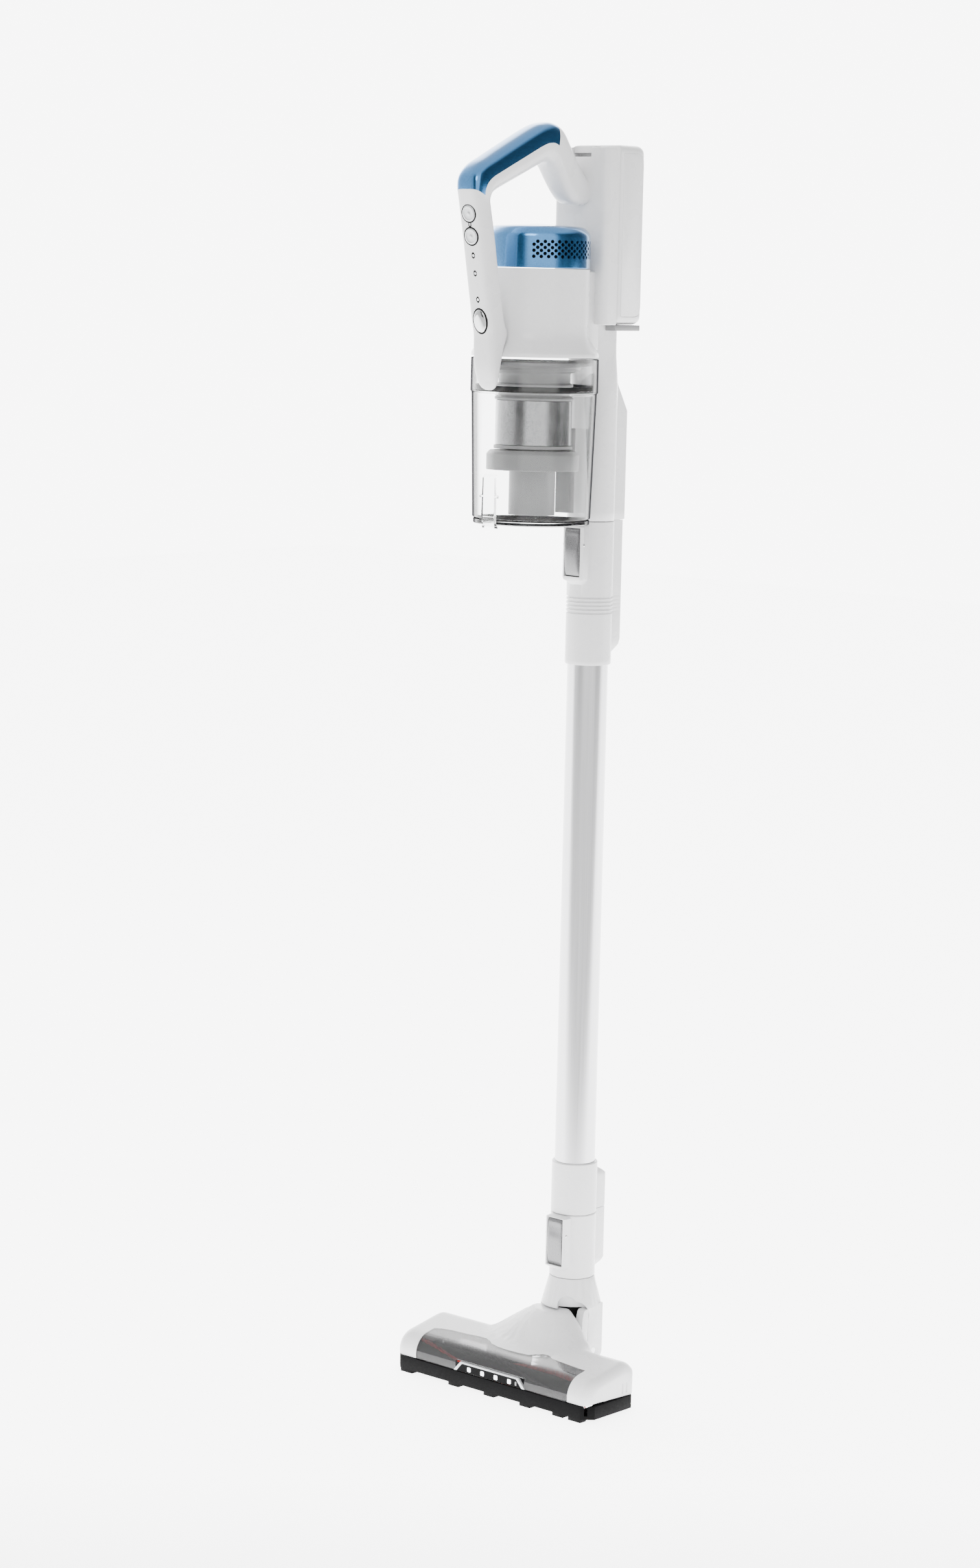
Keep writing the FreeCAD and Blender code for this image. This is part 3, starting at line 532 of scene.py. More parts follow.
HANDLE = [  # outer y, z; inner y, z; half width; squareness
    (-140.6, 887.7, -138.9, 887.9, 3.5, 2.2),
    (-142.6, 889.8, -138.3, 889.8, 7.4, 2.4),
    (-145.0, 895.0, -137.7, 895.0, 10.2, 3.0),
    (-148.2, 906.0, -136.8, 906.0, 11.6, 4.0),
    (-149.6, 922.0, -133.5, 922.0, 12.0, 5.0),
    (-150.4, 934.0, -128.5, 936.0, 12.0, 5.0),
    (-152.6, 945.0, -133.0, 946.5, 12.0, 5.0),
    (-158.7, 976.0, -140.4, 979.0, 12.0, 5.0),
    (-167.0, 1019.0, -148.4, 1021.0, 12.0, 5.0),
    (-172.6, 1046.0, -153.4, 1043.0, 12.3, 4.6),
    (-174.8, 1058.5, -154.0, 1047.5, 13.0, 4.0),
    (-173.6, 1069.0, -151.8, 1052.3, 13.8, 3.4),
    (-166.0, 1077.8, -146.0, 1055.8, 14.0, 3.0),
    (-150.0, 1086.2, -134.0, 1060.8, 14.0, 2.8),
    (-122.0, 1099.8, -109.0, 1071.2, 14.0, 2.8),
    (-98.0, 1111.0, -88.0, 1080.2, 14.0, 2.8),
    (-86.0, 1115.2, -81.0, 1081.6, 14.0, 2.8),
    (-74.0, 1116.4, -76.0, 1079.6, 14.0, 2.9),
    (-62.0, 1111.8, -71.0, 1074.5, 13.6, 3.2),
    (-51.0, 1099.0, -65.0, 1066.0, 12.8, 3.4),
    (-41.0, 1086.0, -57.6, 1056.5, 12.0, 3.4),
    (-31.5, 1075.5, -48.5, 1049.0, 11.6, 3.4),
    (-26.5, 1070.6, -37.0, 1046.5, 11.4, 3.4),
    (-22.0, 1068.0, -22.0, 1048.5, 11.2, 3.4),
]
SPAN = 5
BLUE_FROM = 10 * SPAN - 1
BLUE_TO = 17 * SPAN + 2
RING = 48


def handle_ring(station, shrink=0.0):
    """One section of the handle. The first half of the ring faces outwards."""
    outer_y, outer_z, inner_y, inner_z, half, power = station
    outer = Vector((0, outer_y, outer_z))
    inner = Vector((0, inner_y, inner_z))
    middle = (outer + inner) / 2
    out = (outer - inner) / 2
    depth = max(0.1, out.length - shrink)
    out.normalize()
    ring = []
    for index in range(RING):
        angle = 2 * math.pi * index / RING
        c, s = math.cos(angle), math.sin(angle)
        across = math.copysign(abs(c) ** (2 / power), c) * (half - shrink)
        spot = middle + out * (math.copysign(abs(s) ** (2 / power), s) * depth)
        ring.append(at(across, max(-175, spot.y), min(1116.5, spot.z)))
    return ring


def half_shell(rings, outward):
    """The outward or inward half of a run of rings, closed along its flat side."""
    half = RING // 2
    kept = []
    for ring in rings:
        part = ring[: half + 1] if outward else ring[half:] + ring[:1]
        kept.append(part)
    return loft(kept)


def handle():
    stations = smooth_line(HANDLE, SPAN)
    rings = [handle_ring(station) for station in stations]
    leg = loft(rings[:BLUE_FROM + 1])
    lower = half_shell(rings[BLUE_FROM:BLUE_TO + 1], False)
    rear = loft(rings[BLUE_TO:])
    piece("handle_leg", *leg, "white_gloss", "handheld", "handle_front_leg")
    piece("handle_underside", *lower, "white_gloss", "handheld", "handle_grip")
    piece("handle_rear", *rear, "white_gloss", "handheld", "handle_rear_leg")
    blue = [handle_ring(station, -0.12) for station in stations[BLUE_FROM:BLUE_TO + 1]]
    piece("handle_blue_insert", *half_shell(blue, True), "blue_metallic", "handheld", "handle_insert")


def face_point(height, out):
    """A point on the front of the handle's leg, at a height, raised from it by a distance."""
    slope = (1060 - 932) / (175 - 150)
    y = -150 - (height - 932) / slope
    return at(0, y, height) + FACE_OUT * out * MM


FACE_OUT = Vector((0, -0.981456, -0.19169))
FACE_UP = Vector((0, -0.19169, 0.981456))


def face_disc(profile, height, stretch=1.0, segments=64):
    """A profile in radius and rise, turned about an axis that stands out of the leg's face."""
    centre = face_point(height, 0)
    rings = []
    for radius, rise in profile:
        ring = []
        for index in range(segments):
            angle = 2 * math.pi * index / segments
            across = Vector((radius * math.cos(angle), 0, 0))
            along = FACE_UP * (radius * stretch * math.sin(angle))
            ring.append(centre + (across + along) * MM + FACE_OUT * rise * MM)
        rings.append(ring)
    return loft(rings)


def controls():
    button = [(6.9, -2.6), (6.9, 0.3), (6.6, 0.75), (6.2, 0.9), (5.5, 0.9), (5.2, 0.62), (4.8, 0.55),
              (2.0, 0.42), (1.5, 0.5), (1.2, 0.72), (0.7, 0.8), (0.05, 0.82)]
    bezel = [(6.95, -0.5), (8.1, -0.5), (8.1, 0.1), (7.9, 0.35), (7.5, 0.42), (7.1, 0.3), (6.95, 0.1)]
    for name, height in (("power_button", 1036), ("mode_button", 1017)):
        piece(f"{name}_cap", *face_disc(button, height), "silver_plastic", name, name)
        rings = face_disc(bezel + bezel[:1], height)
        piece(f"{name}_bezel", rings[0], rings[1][:-2], "black_plastic", "handheld")
    release = [(6.9, -2.8), (6.9, 0.4), (6.5, 1.0), (5.6, 1.5), (4.2, 1.9), (2.4, 2.1), (0.05, 2.15)]
    piece("cup_release_cap", *face_disc(release, 946, 1.42), "bright_metal", "cup_release",
          "cup_release_button")
    collar = [(7.0, -0.5), (8.2, -0.5), (8.2, 0.05), (7.9, 0.3), (7.3, 0.32), (7.0, 0.1), (7.0, -0.5)]
    rings = face_disc(collar, 946, 1.38)
    piece("cup_release_surround", rings[0], rings[1][:-2], "black_plastic", "handheld")
    lens = [(0.85, -1.0), (0.85, 0.15), (0.6, 0.3), (0.05, 0.35)]
    rim = [(0.9, -0.5), (1.8, -0.5), (1.8, 0.15), (1.6, 0.3), (1.0, 0.3), (0.9, 0.15), (0.9, -0.5)]
    marks = (1052, 1027, 1001, 986, 964)
    lamps = [face_disc(lens, height, segments=24) for height in marks if height != 1027]
    rims = [face_disc(rim, height, 1.0 if height == 1052 else 1.5, 24) for height in marks]
    rims = [(verts, faces[:-2]) for verts, faces in rims]
    piece("indicator_rims", *joined(*rims), "black_plastic", "handheld")
    piece("indicator_lenses", *joined(*lamps), "lamp_lens", "handheld", "indicator_lamps")


# ---------------- motor unit

VENT_ROWS, VENT_COLUMNS = 6, 19
VENT_FROM, VENT_STEP = -53, 8


def side_drill(place, degrees, height, radius, near, far, sides):
    """A round bar that points outwards from an upright axis, to cut a hole with."""
    turn = math.radians(degrees)
    out = Vector((math.cos(turn), math.sin(turn), 0))
    across = Vector((-out.y, out.x, 0)) * radius * MM
    up = Vector((0, 0, radius * MM))
    steps = [2 * math.pi * side / sides for side in range(sides)]
    rings = []
    for reach in (near, far):
        centre = place(0, 0, height) + out * reach * MM
        rings.append([centre + across * math.cos(a) + up * math.sin(a) for a in steps])
    return loft(rings)


def motor_unit():
    outside = [(52.8, 916.2), (55, 916.2), (55, 919.5), (45.4, 932.5), (45.4, 991.6), (43.2, 991.6),
               (43.2, 934), (52.8, 921)]
    outside = soft_corners(outside, [0, 0.5, 2.5, 9, 0.6, 0.3, 8, 2])
    piece("motor_shell", *turned(outside, on_cup, 128, closed=True), "white_gloss", "handheld",
          "motor_housing")
    dome = [(43.2, 992.2), (45.4, 992.2), (45.4, 1021), (40, 1027.6), (0.05, 1030), (0.05, 1027.6),
            (39, 1025.4), (43.2, 1020)]
    dome = soft_corners(dome, [0.2, 0.5, 3.0, 5.0, 0, 0, 4, 3])
    cap = piece("motor_cap_shell", *turned(dome, on_cup, 144, closed=True), "blue_metallic", "handheld",
                "motor_cap")
    holes = []
    for row in range(VENT_ROWS):
        for column in range(VENT_COLUMNS):
            degrees = VENT_FROM + VENT_STEP * (column + row % 2 / 2)
            holes.append(side_drill(on_cup, degrees, 1001.7 + 2.54 * row, 1.6, 41, 48, 8))
    carve(cap, joined(*holes))
    # A black sheet just inside the cap, so that the vent holes show dark: painted shade for the dark inside
    # the motor unit.
    backing = [(42.2, 994), (42.9, 994), (42.9, 1019), (42.2, 1019)]
    piece("vent_painted_shade_sheet", *turned(backing, on_cup, 96, closed=True), "black_plastic", "handheld")


# ---------------- cup and cyclone


def cup():
    wall = [(48.9, 777.2), (51, 777.2), (54, 884.6), (55, 885.8), (55, 914.6), (53, 914.6), (53, 887),
            (52, 884)]
    wall = soft_corners(wall, [0.4, 0.8, 0.8, 0.4, 0.6, 0.3, 1, 1])
    piece("clear_cup", *turned(wall, on_cup, 128, closed=True), "clear_plastic", "cup", "dust_cup")
    band = [(52.3, 886.2), (52.95, 886.2), (52.95, 891.2), (49.5, 891.2), (49.5, 889.5), (52.3, 888)]
    band = soft_corners(band, 0.2)
    piece("cup_seal_ring", *turned(band, on_cup, 128, closed=True), "black_rubber", "cup", "cup_seal")
    floor = [(0.05, 772.2), (50.2, 772.2), (50.2, 776), (46.5, 776.3), (44, 774.4), (0.05, 774.2)]
    floor = soft_corners(floor, [0, 0.8, 0.6, 0.6, 1.5, 0])
    piece("cup_floor", *turned(floor, on_cup, 128, closed=True), "clear_plastic", "cup_door", "cup_door")
    seal = soft_corners([(46.2, 776.4), (48.6, 776.4), (48.6, 779.6), (46.2, 779.2)], 0.5)
    piece("door_seal_ring", *turned(seal, on_cup, 128, closed=True), "black_rubber", "cup_door", "door_seal")


def cyclone():
    profile = [(17.6, 781.2), (20, 781.2), (20, 836), (24, 836.8), (34, 837.4), (34, 840.4), (30.5, 840.8),
               (30.5, 879), (34, 879.2), (34, 881.4), (31, 882.2), (31, 890), (33.5, 890.4), (33.5, 892.6),
               (31, 893), (31, 901), (40, 904), (40, 907), (52.3, 909), (52.3, 911.8), (28.5, 911.8),
               (28.5, 904), (26.6, 881), (26.6, 841), (17.6, 838.5)]
    body = soft_corners(profile, 0.7, 3)
    piece("cyclone_tower", *turned(body, on_cup, 96, closed=True), "grey_plastic", "cup", "cyclone_body")
    sleeve = [(32.2, 841.0), (33, 841.0), (33, 878.6), (32.2, 878.6)]
    piece("mesh_filter", *turned(sleeve, on_cup, 128, closed=True), "steel_mesh", "cup", "cyclone_mesh")
    skirt = soft_corners([(38.4, 819.2), (40, 819.2), (40, 833), (37, 836.3), (20.2, 836.3), (20.2, 834.5),
                          (36, 834.5), (38.4, 831)], 0.8, 3)
    piece("dust_skirt", *turned(skirt, on_cup, 96, closed=True), "grey_plastic", "cup", "cyclone_skirt")


# ---------------- wand's collars and neck

PAD_REACH, PAD_HALF = 25.2, 11.5
COLLAR = 20.4


def ribbed_ring(radius, height, back=0.0, back_y=34.0, back_half=9.0, front=0.0):
    """A round section with a rib behind and a pad in front, each raised by a share from 0 to 1."""
    ring = []
    for sign, share, reach, half, next_half in ((1, back, back_y, back_half, PAD_HALF),
                                                (-1, front, PAD_REACH, PAD_HALF, back_half)):
        edge = math.asin(min(0.95, (half + 2.0) / radius))
        foot = radius * math.cos(edge)
        path = soft_corners([(half + 2.0, foot), (half + 0.3, foot + 1.2), (half, reach), (-half, reach),
                             (-half - 0.3, foot + 1.2), (-half - 2.0, foot)], [0, 1.2, 2.6, 2.6, 1.2, 0], 4,
                            closed=False)
        count = len(path)
        for index, (x, y) in enumerate(path):
            angle = mix(edge, -edge, index / (count - 1))
            round_x, round_y = radius * math.sin(angle), radius * math.cos(angle)
            ring.append((mix(round_x, x, share) * sign, mix(round_y, y, share) * sign))
        next_edge = math.asin(min(0.95, (next_half + 2.0) / radius)) - math.pi
        for index in range(1, 20):
            angle = mix(-edge, next_edge, index / 20)
            ring.append((radius * math.sin(angle) * sign, radius * math.cos(angle) * sign))
    return [at(x, y, height) for x, y in ring]


def sleeve(levels):
    """A lofted sleeve from a list of ribbed_ring arguments."""
    return loft([ribbed_ring(**level) for level in levels])


def pocket(low, high):
    """The room that a release button moves in."""
    return bevelled([(-9, -32), (9, -32), (9, -19.2), (-9, -19.2)], low, high, at, 0.6, 2)


def button_cap(name, body, low):
    """A rocking release button: a bulged face with a dished middle."""
    rings = []
    for step in range(25):
        z = 41 * step / 24
        bulge = 2.5 * math.sin(math.pi * min(1, max(0, z / 41))) ** 0.6
        dish = 0.7 * step_between(z, 22, 31) * (1 - step_between(z, 34, 39))
        ring = []
        for index in range(32):
            angle = 2 * math.pi * index / 32
            c, s = math.cos(angle), math.sin(angle)
            x = math.copysign(abs(c) ** 0.4, c) * 8.4
            depth = math.copysign(abs(s) ** 0.4, s)
            y = mix(-21.6, -24.1 - bulge + dish * (1 - abs(x / 8.4) ** 3), (1 - depth) / 2)
            ring.append(at(x, y, low + z))
        rings.append(ring)
    piece(f"{name}_cap", *loft(rings), "grey_metallic", body, name)


def pin_head(z):
    """The two ends of a button's pin, seen beside the button."""
    ends = []
    turns = [k * math.pi / 8 for k in range(16)]
    for side in (-1, 1):
        rings = []
        for r, out in ((1.3, 0), (1.3, 0.9), (0.9, 1.2), (0.1, 1.2)):
            x = side * (10.8 + out)
            rings.append([at(x, -22.8 + r * math.cos(a), z + r * math.sin(a)) for a in turns])
        ends.append(loft(rings))
    return joined(*ends)


def level(height, radius=COLLAR, **rib):
    return dict(height=height, radius=radius, **rib)


def wand_parts():
    low, top = 151.9, 198.0
    levels = [level(low, 19.7, back=1, back_y=33.4), level(low + 0.7, back=1)]
    levels += [level(z, back=1 - step_between(z, 182, 193)) for z in (180, 183, 186, 189, 192)]
    levels += [level(top - 0.8), level(top, 19.6), level(top, 18.2)]
    piece("lower_collar", *sleeve(levels), "white_gloss", "wand", "wand_lower_collar")
    levels = [level(645, 18.2), level(645, 19.8), level(645.8)]
    levels += [level(z, back=step_between(z, 648, 664)) for z in (649, 653, 657, 661, 666)]
    for groove in range(5):
        for rise, radius in ((0, 20.4), (0.35, 19.3), (1.45, 19.3), (1.8, 20.4)):
            levels.append(level(690 + 3.4 * groove + rise, radius, back=1))
    levels += [level(z, back=1, front=step_between(z, 716, 721)) for z in (716, 718, 720, 722)]
    levels += [level(767, back=1, front=1), level(769, back=1, front=0.7), level(771, back=1, front=0.1),
               level(771.6, 19.8, back=1)]
    collar = piece("upper_collar", *sleeve(levels), "white_gloss", "wand", "wand_upper_collar")
    carve(collar, pocket(723, 766))
    piece("upper_pin_ends", *pin_head(751), "steel", "wand", "upper_button_pin")
    button_cap("upper_release_button", "upper_button", 724)


def neck_parts():
    levels = [level(94.3, 19.8), level(95)]
    for z in (96, 99, 102, 105):
        levels.append(level(z, back=step_between(z, 94, 105), front=step_between(z, 101, 105)))
    levels += [level(149.4, back=1, front=1), level(150.6, back=1, front=0.6),
               level(151.4, 19.7, back=1, back_y=33.4)]
    sleeve_piece = piece("neck_sleeve", *sleeve(levels), "white_gloss", "neck", "neck_coupling")
    carve(sleeve_piece, pocket(106, 149))
    piece("lower_pin_ends", *pin_head(134), "steel", "neck", "lower_button_pin")
    button_cap("lower_release_button", "lower_button", 107)


# ---------------- floor head

DOME_X = 10
DOME = [(28, -48, 76, 36), (36, -44, 63, 31), (43, -39, 56, 25), (49.5, -35, 47, 22), (56, -31, 38, 19),
        (61.5, -27.6, 30, 15.6), (66.5, -25, 22, 12)]
WINDOW_EDGE = [(-88.2, -73.6), (-81, -70.8), (-69, -69), (-54, -68.3), (-40, -66.7), (-32, -66.8),
               (-26.5, -68.5), (-18.5, -73.1), (-9, -75.2), (3, -75.9), (14.5, -75.7), (25, -74.6),
               (32.6, -70.4), (37.6, -67.5), (43.4, -67.2), (52, -70), (60, -71.1), (72, -72.2),
               (89.6, -73.6)]


def window_edge(x):
    for (x0, y0), (x1, y1) in zip(WINDOW_EDGE, WINDOW_EDGE[1:]):
        if x <= x1:
            return mix(y0, y1, step_between(x, x0, x1) * 0.6 + 0.4 * min(1, max(0, (x - x0) / (x1 - x0))))
    return WINDOW_EDGE[-1][1]


def dome_height(x, y):
    """How high the swelling round the neck stands over a point, or a low value outside it."""
    best = 0
    trim = 4 if x > DOME_X else 0
    for (z0, c0, a0, b0), (z1, c1, a1, b1) in zip(DOME, DOME[1:]):
        for step in range(9):
            t = step / 8
            across = (x - DOME_X) / (mix(a0, a1, t) - trim)
            along = (y - mix(c0, c1, t)) / mix(b0, b1, t)
            if across ** 2 + along ** 2 > 1:
                return best
            best = mix(z0, z1, t)
    return best


HOOD_SLOPE = math.atan(0.185)


def hood_line(y, inset):
    """The top of the hood along its depth, without the swelling."""
    radius = 18 - inset
    tangent_y = -79.5 - radius * math.sin(HOOD_SLOPE)
    if y < tangent_y:
        return 18.5 + math.sqrt(max(0, radius ** 2 - (y + 79.5) ** 2))
    line = 18.5 + radius * math.cos(HOOD_SLOPE) + 0.185 * (y - tangent_y)
    return line - 0.038 * max(0, y + 47 + inset) ** 2


def head_column(x, rows_front, rows_top, rows_back):
    """Points on the cover's outer face, from the lower front edge over the top to the lower back edge."""
    side = abs(x)
    round_end = 9.5
    over = max(0, side - (113.5 - round_end))
    inset = round_end - math.sqrt(max(0, round_end ** 2 - over ** 2))
    radius = 18 - inset
    edge = window_edge(min(89.6, max(-88.2, x)))
    tangent_y = -79.5 - radius * math.sin(HOOD_SLOPE)
    points = []
    arc_rows = rows_front - 4
    for index in range(arc_rows):
        angle = mix(math.radians(180 + 11), math.pi / 2 + HOOD_SLOPE, index / arc_rows)
        points.append((-79.5 + radius * math.cos(angle), 18.5 + radius * math.sin(angle)))
    for index in range(rows_front - arc_rows):
        y = mix(tangent_y, edge, index / (rows_front - arc_rows))
        points.append((y, hood_line(y, inset)))
    back = -31 - inset
    sweep = 1 - ((x - DOME_X) / 61) ** 2
    if sweep > 0:
        back = max(back, min(-14.3, -44 + 31 * math.sqrt(sweep)))
    for index in range(rows_top):
        y = mix(edge, back, index / (rows_top - 1))
        flat = hood_line(min(y, -31 - inset), inset)
        dome = dome_height(x, y)
        points.append((y, dome_blend(flat, dome)))
    top = points[-1][1]
    under = 36.5 if back > -30.5 - inset else mix(top, 15, 0.3)
    shelf = (back - 0.2, mix(top, min(under, top - 1), 0.55)), (back - 0.6, min(under, top - 1))
    wall = -31.2 - inset
    rest = [shelf[0], shelf[1], (mix(back, wall, 0.5), min(under, top - 1)), (wall, min(under, top - 1) - 1)]
    for index in range(rows_back):
        rest.append((wall, mix(rest[3][1], 14.7, (index + 1) / rows_back)))
    points += rest
    return [on_head(x, y, z) for y, z in points]


def dome_blend(flat, dome):
    if dome <= 0:
        return flat
    softness = 7.0
    gap = max(0, softness - abs(flat - dome)) / softness
    return max(flat, dome) + gap ** 3 * softness / 6


def head_stations():
    xs = [-113.5, -113.2, -112.4, -111.2, -109.6, -107.6, -105.4, -103, -100, -97, -94, -91]
    xs += [-88.3 + 178.2 * index / 88 for index in range(89)]
    xs += [92.4, 95, 98, 101, 103.6, 105.9, 108, 109.9, 111.4, 112.5, 113.2, 113.5]
    return xs


def thick(verts, faces, wall):
    """A sheet made into a shell, with its thickness inwards."""
    mesh = bpy.data.meshes.new("sheet")
    mesh.from_pydata([tuple(v) for v in verts], [], faces)
    work = bmesh.new()
    work.from_mesh(mesh)
    bmesh.ops.recalc_face_normals(work, faces=work.faces)
    middle = sum((vert.co for vert in work.verts), Vector()) / len(work.verts)
    top = max(work.faces, key=lambda face: face.calc_center_median().z)
    if top.normal.z < 0:
        bmesh.ops.reverse_faces(work, faces=work.faces)
    work.normal_update()
    inner = {vert: work.verts.new(vert.co - vert.normal * wall * MM) for vert in list(work.verts)}
    outer_faces = list(work.faces)
    rim = [edge for edge in work.edges if len(edge.link_faces) == 1]
    for face in outer_faces:
        work.faces.new([inner[vert] for vert in reversed(face.verts)])
    for edge in rim:
        a, b = edge.verts
        work.faces.new((b, a, inner[a], inner[b]))
    bpy.data.meshes.remove(mesh)
    return listed(work)


ROWS_FRONT = 16


def head_cover():
    xs = head_stations()
    columns = [head_column(x, ROWS_FRONT, 34, 6) for x in xs]
    count = len(columns[0])
    first, last = 12, 12 + 88
    verts = [point for column in columns for point in column]
    cover, window = [], []
    for c in range(len(xs) - 1):
        for r in range(count - 1):
            face = (c * count + r, (c + 1) * count + r, (c + 1) * count + r + 1, c * count + r + 1)
            (window if first <= c < last and r < ROWS_FRONT else cover).append(face)
    for c in (0, len(xs) - 1):
        cover.append(tuple(c * count + r for r in range(count)))
    shell = thick(verts, cover, 2.0)
    made = piece("head_cover", *shell, "white_gloss", "head", "head_top_cover", sharp=38)
    room = turned([(0.01, 30), (17.2, 30), (17.2, 90), (0.01, 90)], at, 96)
    carve(made, room, 38)
    tongue = bevelled([(-17.2, -40), (17.2, -40), (17.2, 20), (-17.2, 20)], 10, 30, at, 0.5, 1)
    carve(made, tongue, 38)
    for y in (-51.5, -46.0):
        slot = [(y, 17.5), (y + 1.8, 17.5), (y + 1.8, 26.5), (y, 26.5)]
        carve(made, bevelled(slot, 112.7, 115, end_place, 0.3, 1), 38)
    pane = thick(verts, window, 1.9)
    glass = piece("head_window", *pane, "smoke_plastic", "head", "brush_window", sharp=50)
    lamp_gap = [(-40.4, -110), (40.4, -110), (40.4, -90), (-40.4, -90)]
    carve(glass, bevelled(lamp_gap, 5, 24.3, on_head, 0.5, 1), 50)


def strand(root, tip, around, along):
    """The six corners of one three-sided strand, thinner at its tip."""
    corners = []
    for spot, size in ((root, 0.24), (tip, 0.15)):
        for corner in range(3):
            turn = 2 * math.pi * corner / 3
            corners.append(spot + (around * math.cos(turn) + along * math.sin(turn)) * size * MM)
    return corners, [(0, 1, 4, 3), (1, 2, 5, 4), (2, 0, 3, 5), (3, 4, 5), (2, 1, 0)]


def brush():
    """Two red and two grey rows of tufts, each wound half a turn round the roller."""
    random.seed(7)
    along = Vector((1, 0, 0))
    for name, node, phases, slot in (("red_tufts", "red_bristles", (66, 246), "red_bristle"),
                                     ("grey_tufts", "grey_bristles", (156, 336), "grey_bristle")):
        strands = []
        for phase, tuft in [(phase, tuft) for phase in phases for tuft in range(62)]:
            x = -91.5 + 183 * tuft / 61
            for _ in range(9):
                angle = math.radians(phase - 0.95 * (x + 91) + random.uniform(-5, 5))
                out = Vector((0, -math.cos(angle), math.sin(angle)))
                around = Vector((0, math.sin(angle), math.cos(angle)))
                lean = around * random.uniform(-0.14, 0.14) + along * random.uniform(-0.08, 0.08)
                root = on_head(x + random.uniform(-1.0, 1.0), -79.5, 17.5) + out * 9.8 * MM
                tip = root + (out + lean) * random.uniform(4.6, 5.2) * MM
                strands.append(strand(root, tip, around, along))
        piece(name, *joined(*strands), slot, "brush_roll", node)


def end_place(u, v, w):
    return on_head(w, u, v)


def lights():
    """The trapezoid bracket with its bright frame, dark panel and four lamps."""
    frame_line = [(-42, 15.2), (42, 15.2), (34, 24), (-34, 24)]
    inner = [(-38.5, 15.2), (38.5, 15.2), (32, 22.6), (-32, 22.6)]

    def face_place(u, v, w):
        return on_head(u, w + (v - 15.2) * -0.02, v)

    outer = bevelled(frame_line, -98.4, -95.6, face_place, 0.35, 2)
    frame_piece = piece("light_frame", *outer, "silver_plastic", "head", "light_bar")
    carve(frame_piece, bevelled(inner, -99.5, -97.6, face_place, 0.1, 1))
    panel = [(-38.3, 15.3), (38.3, 15.3), (31.8, 22.4), (-31.8, 22.4)]
    piece("light_panel", *bevelled(panel, -98.0, -97.5, face_place, 0.12, 1), "black_plastic", "head")
    lenses = []
    for x in (-23.7, -7.9, 7.9, 23.7):
        outline = soft_corners([(x - 2.1, 16.6), (x + 2.1, 16.6), (x + 2.1, 20.8), (x - 2.1, 20.8)], 1.1, 4)
        lenses.append(bevelled(outline, -98.35, -97.4, face_place, 0.25, 2))
    piece("lamp_faces", *joined(*lenses), "lamp_lens", "head", "light_lenses")
    mark = soft_corners([(30.6, 16.6), (32.4, 16.6), (32.4, 20.2), (30.6, 20.2)], 0.7, 3)
    piece("lamp_sensor", *bevelled(mark, -98.3, -97.4, face_place, 0.2, 2), "grey_plastic", "head")


def softened(name, node, slot, body, bevel=0.6, segments=2, sharp=35):
    """The CAD part's own faces, with its edges rounded."""
    source = frame["nodes"][node].data
    work = bmesh.new()
    work.from_mesh(source)
    bmesh.ops.remove_doubles(work, verts=work.verts, dist=2e-6)
    bmesh.ops.dissolve_limit(work, angle_limit=math.radians(1.2), verts=work.verts, edges=work.edges)
    rims = [edge for edge in work.edges
            if len(edge.link_faces) == 2 and edge.calc_face_angle(0) > math.radians(sharp)]
    bmesh.ops.bevel(work, geom=rims, offset=bevel * MM, segments=segments, profile=0.5, affect="EDGES",
                    clamp_overlap=True)
    bmesh.ops.triangulate(work, faces=[face for face in work.faces if len(face.verts) > 4])
    return piece(name, *listed(work), slot, body, node)


# ---------------- spine and battery


def spine_ring(z):
    """The spine's section at a height: a ribbed tube below, drawn in to a flat neck under the battery."""
    rise = step_between(z, 868, 908)
    back = mix(35, 12, min(1, max(0, (z - 868) / 40)))
    narrow = step_between(z, 885, 925)
    ring = []
    base = ribbed_ring(20.4, z, back=1, back_y=max(back, 20.6), back_half=10)
    for point in base:
        x = (point.x - WAND_X) / MM
        y = (point.y - WAND_Y) / MM
        if y > back:
            y = mix(y, back, rise)
        angle = math.atan2(y + 5, x)
        c, s = math.cos(angle), math.sin(angle)
        square_x = math.copysign(abs(c) ** 0.35, c) * 17
        square_y = -5 + math.copysign(abs(s) ** 0.35, s) * 17
        ring.append(at(mix(x, square_x, narrow), mix(y, square_y, narrow), z))
    return ring


def spine():
    heights = [772.2, 772.9, 780, 800, 820, 840, 856, 864, 868, 871, 875, 880, 885, 890, 895, 900, 905, 908,
               911, 915, 920, 926, 932, 940, 945]
    rings = [spine_ring(z) for z in heights]
    centre = sum(rings[0], Vector()) / len(rings[0])
    rings[0] = [centre + (point - centre) * 0.975 for point in rings[0]]
    stem = loft(rings)
    outline = [(-30, -27), (30, -27), (30, -8.3), (-30, -8.3)]
    outline = soft_corners(outline, [7, 7, 1.5, 1.5], 6)
    holder = bevelled(outline, 944, 1097, at, 2.2, 4)
    bridge = bevelled([(-20, -48), (20, -48), (20, -20), (-20, -20)], 922, 990, at, 1.5, 3)
    made = piece("spine_shell", *stem, "white_gloss", "handheld", "main_spine")
    cup_room = turned([(0.01, 765), (55.8, 765), (55.8, 915.5), (55.2, 919.5), (45.6, 932.5), (45.6, 1035),
                       (0.01, 1035)], on_cup, 128)
    carve(made, cup_room)
    block = piece("battery_holder", *holder, "white_gloss", "handheld")
    carve(block, bevelled([(-12, -40), (12, -40), (12, -14), (-12, -14)], 1089, 1110, at, 0.3, 1))
    link = piece("holder_bridge", *bridge, "white_gloss", "handheld")
    carve(link, cup_room)


def side_place(u, v, w):
    return at(w, u, v)


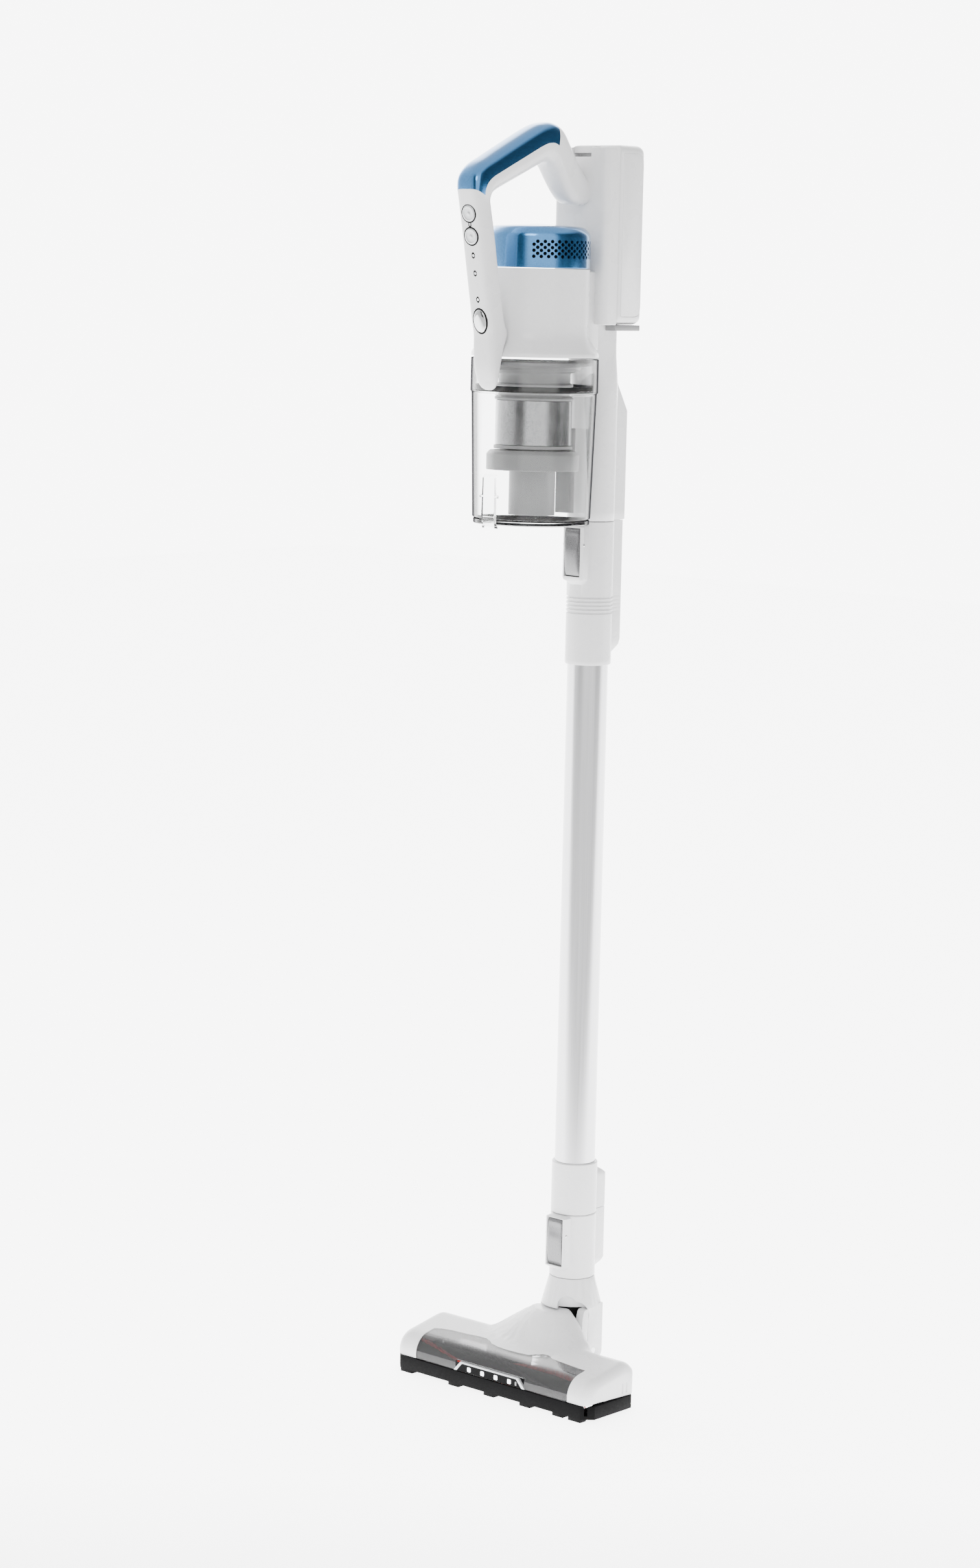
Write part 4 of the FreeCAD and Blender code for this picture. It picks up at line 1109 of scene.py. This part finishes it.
def pillow(low, high, front, rear, crown, steps=6):
    """A block with rounded upright corners, and a rounded rim round both ends."""
    x0, y0, z0 = low
    x1, y1, z1 = high
    turn = [math.pi / 2 * step / steps for step in range(steps + 1)]
    rims = [(z0 + crown * (1 - math.cos(a)), crown * (1 - math.sin(a))) for a in turn]
    rims += [(z1 - crown * (1 - math.cos(a)), crown * (1 - math.sin(a))) for a in reversed(turn)]
    rings = []
    for z, inset in rims:
        left, right, fore, aft = x0 + inset, x1 - inset, y0 + inset, y1 - inset
        outline = [(left, fore), (right, fore), (right, aft), (left, aft)]
        corners = [max(0.5, radius - inset) for radius in (front, front, rear, rear)]
        rings.append([at(x, y, z) for x, y in soft_corners(outline, corners, 6)])
    return loft(rings)


def battery():
    low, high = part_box("battery_case")
    start = [(low[0] - WAND_X) / MM, (low[1] - WAND_Y) / MM, low[2] / MM]
    end = [(high[0] - WAND_X) / MM, (high[1] - WAND_Y) / MM, high[2] / MM]
    made = piece("battery_shell", *pillow(start, end, 3, 12, 7), "white_gloss", "battery", "battery_case")
    inner = soft_corners([(-3.5, 951), (24.5, 951), (24.5, 1093.5), (-3.5, 1093.5)], [3, 9, 9, 3], 6)
    panel = soft_corners([(-3, 951.5), (24, 951.5), (24, 1093), (-3, 1093)], [2.6, 8.6, 8.6, 2.6], 6)
    for side, low, cut in (("right", 28.9, (28.9, 31.3)), ("left", -29.3, (-31.3, -28.9))):
        carve(made, bevelled(inner, *cut, side_place, 0.1, 1))
        plate = bevelled(panel, low - 0.3, low + 0.4, side_place, 0.15, 2)
        piece(f"battery_panel_{side}", *plate, "white_gloss", "battery")
    for x in (-14, 14):
        slot = soft_corners([(x - 4, 2), (x + 4, 2), (x + 4, 5), (x - 4, 5)], 1.4, 4)
        carve(made, bevelled(slot, 1099.3, 1104, at, 0.1, 1))
    softened("battery_ledge", "battery_dock", "grey_plastic", "handheld", 0.6)


def yoke():
    """The fork over the head's joint. A notch in its skirt shows the black elbow inside."""
    made = softened("yoke_shell", "neck_yoke", "white_gloss", "yoke", 0.8)
    for degrees, height, radius in ((-58, 70.5, 9.0), (-42, 62.0, 13.0)):
        carve(made, side_drill(at, degrees, height, radius, 17.3, 40, 32))
    collar = soft_corners([(13.8, 50), (17.1, 50), (17.1, 76.4), (13.8, 76.4)], 0.4, 2)
    piece("elbow_collar", *turned(collar, at, 64, closed=True), "black_plastic", "yoke")
    front = [(-6.5, 36), (-5.5, 67.5), (-11.5, 67.5), (-13.6, 60), (-13.8, 46), (-12, 38)]
    front = soft_corners(front, [1, 0.5, 3, 3, 3, 3], 4)
    for side, low, high in (("right", 17.6, 25.4), ("left", -25.4, -17.6)):
        piece(f"arm_front_{side}", *bevelled(front, low, high, side_place, 1.2, 3), "white_gloss", "yoke")


head_cover()
brush()
lights()
softened("sole_plate", "head_sole_plate", "black_plastic", "head", 0.7)
yoke()
spine()
battery()
handle()
controls()
motor_unit()
cup()
cyclone()
wand_parts()
neck_parts()
paint_cad_nodes()
studio()
camera()
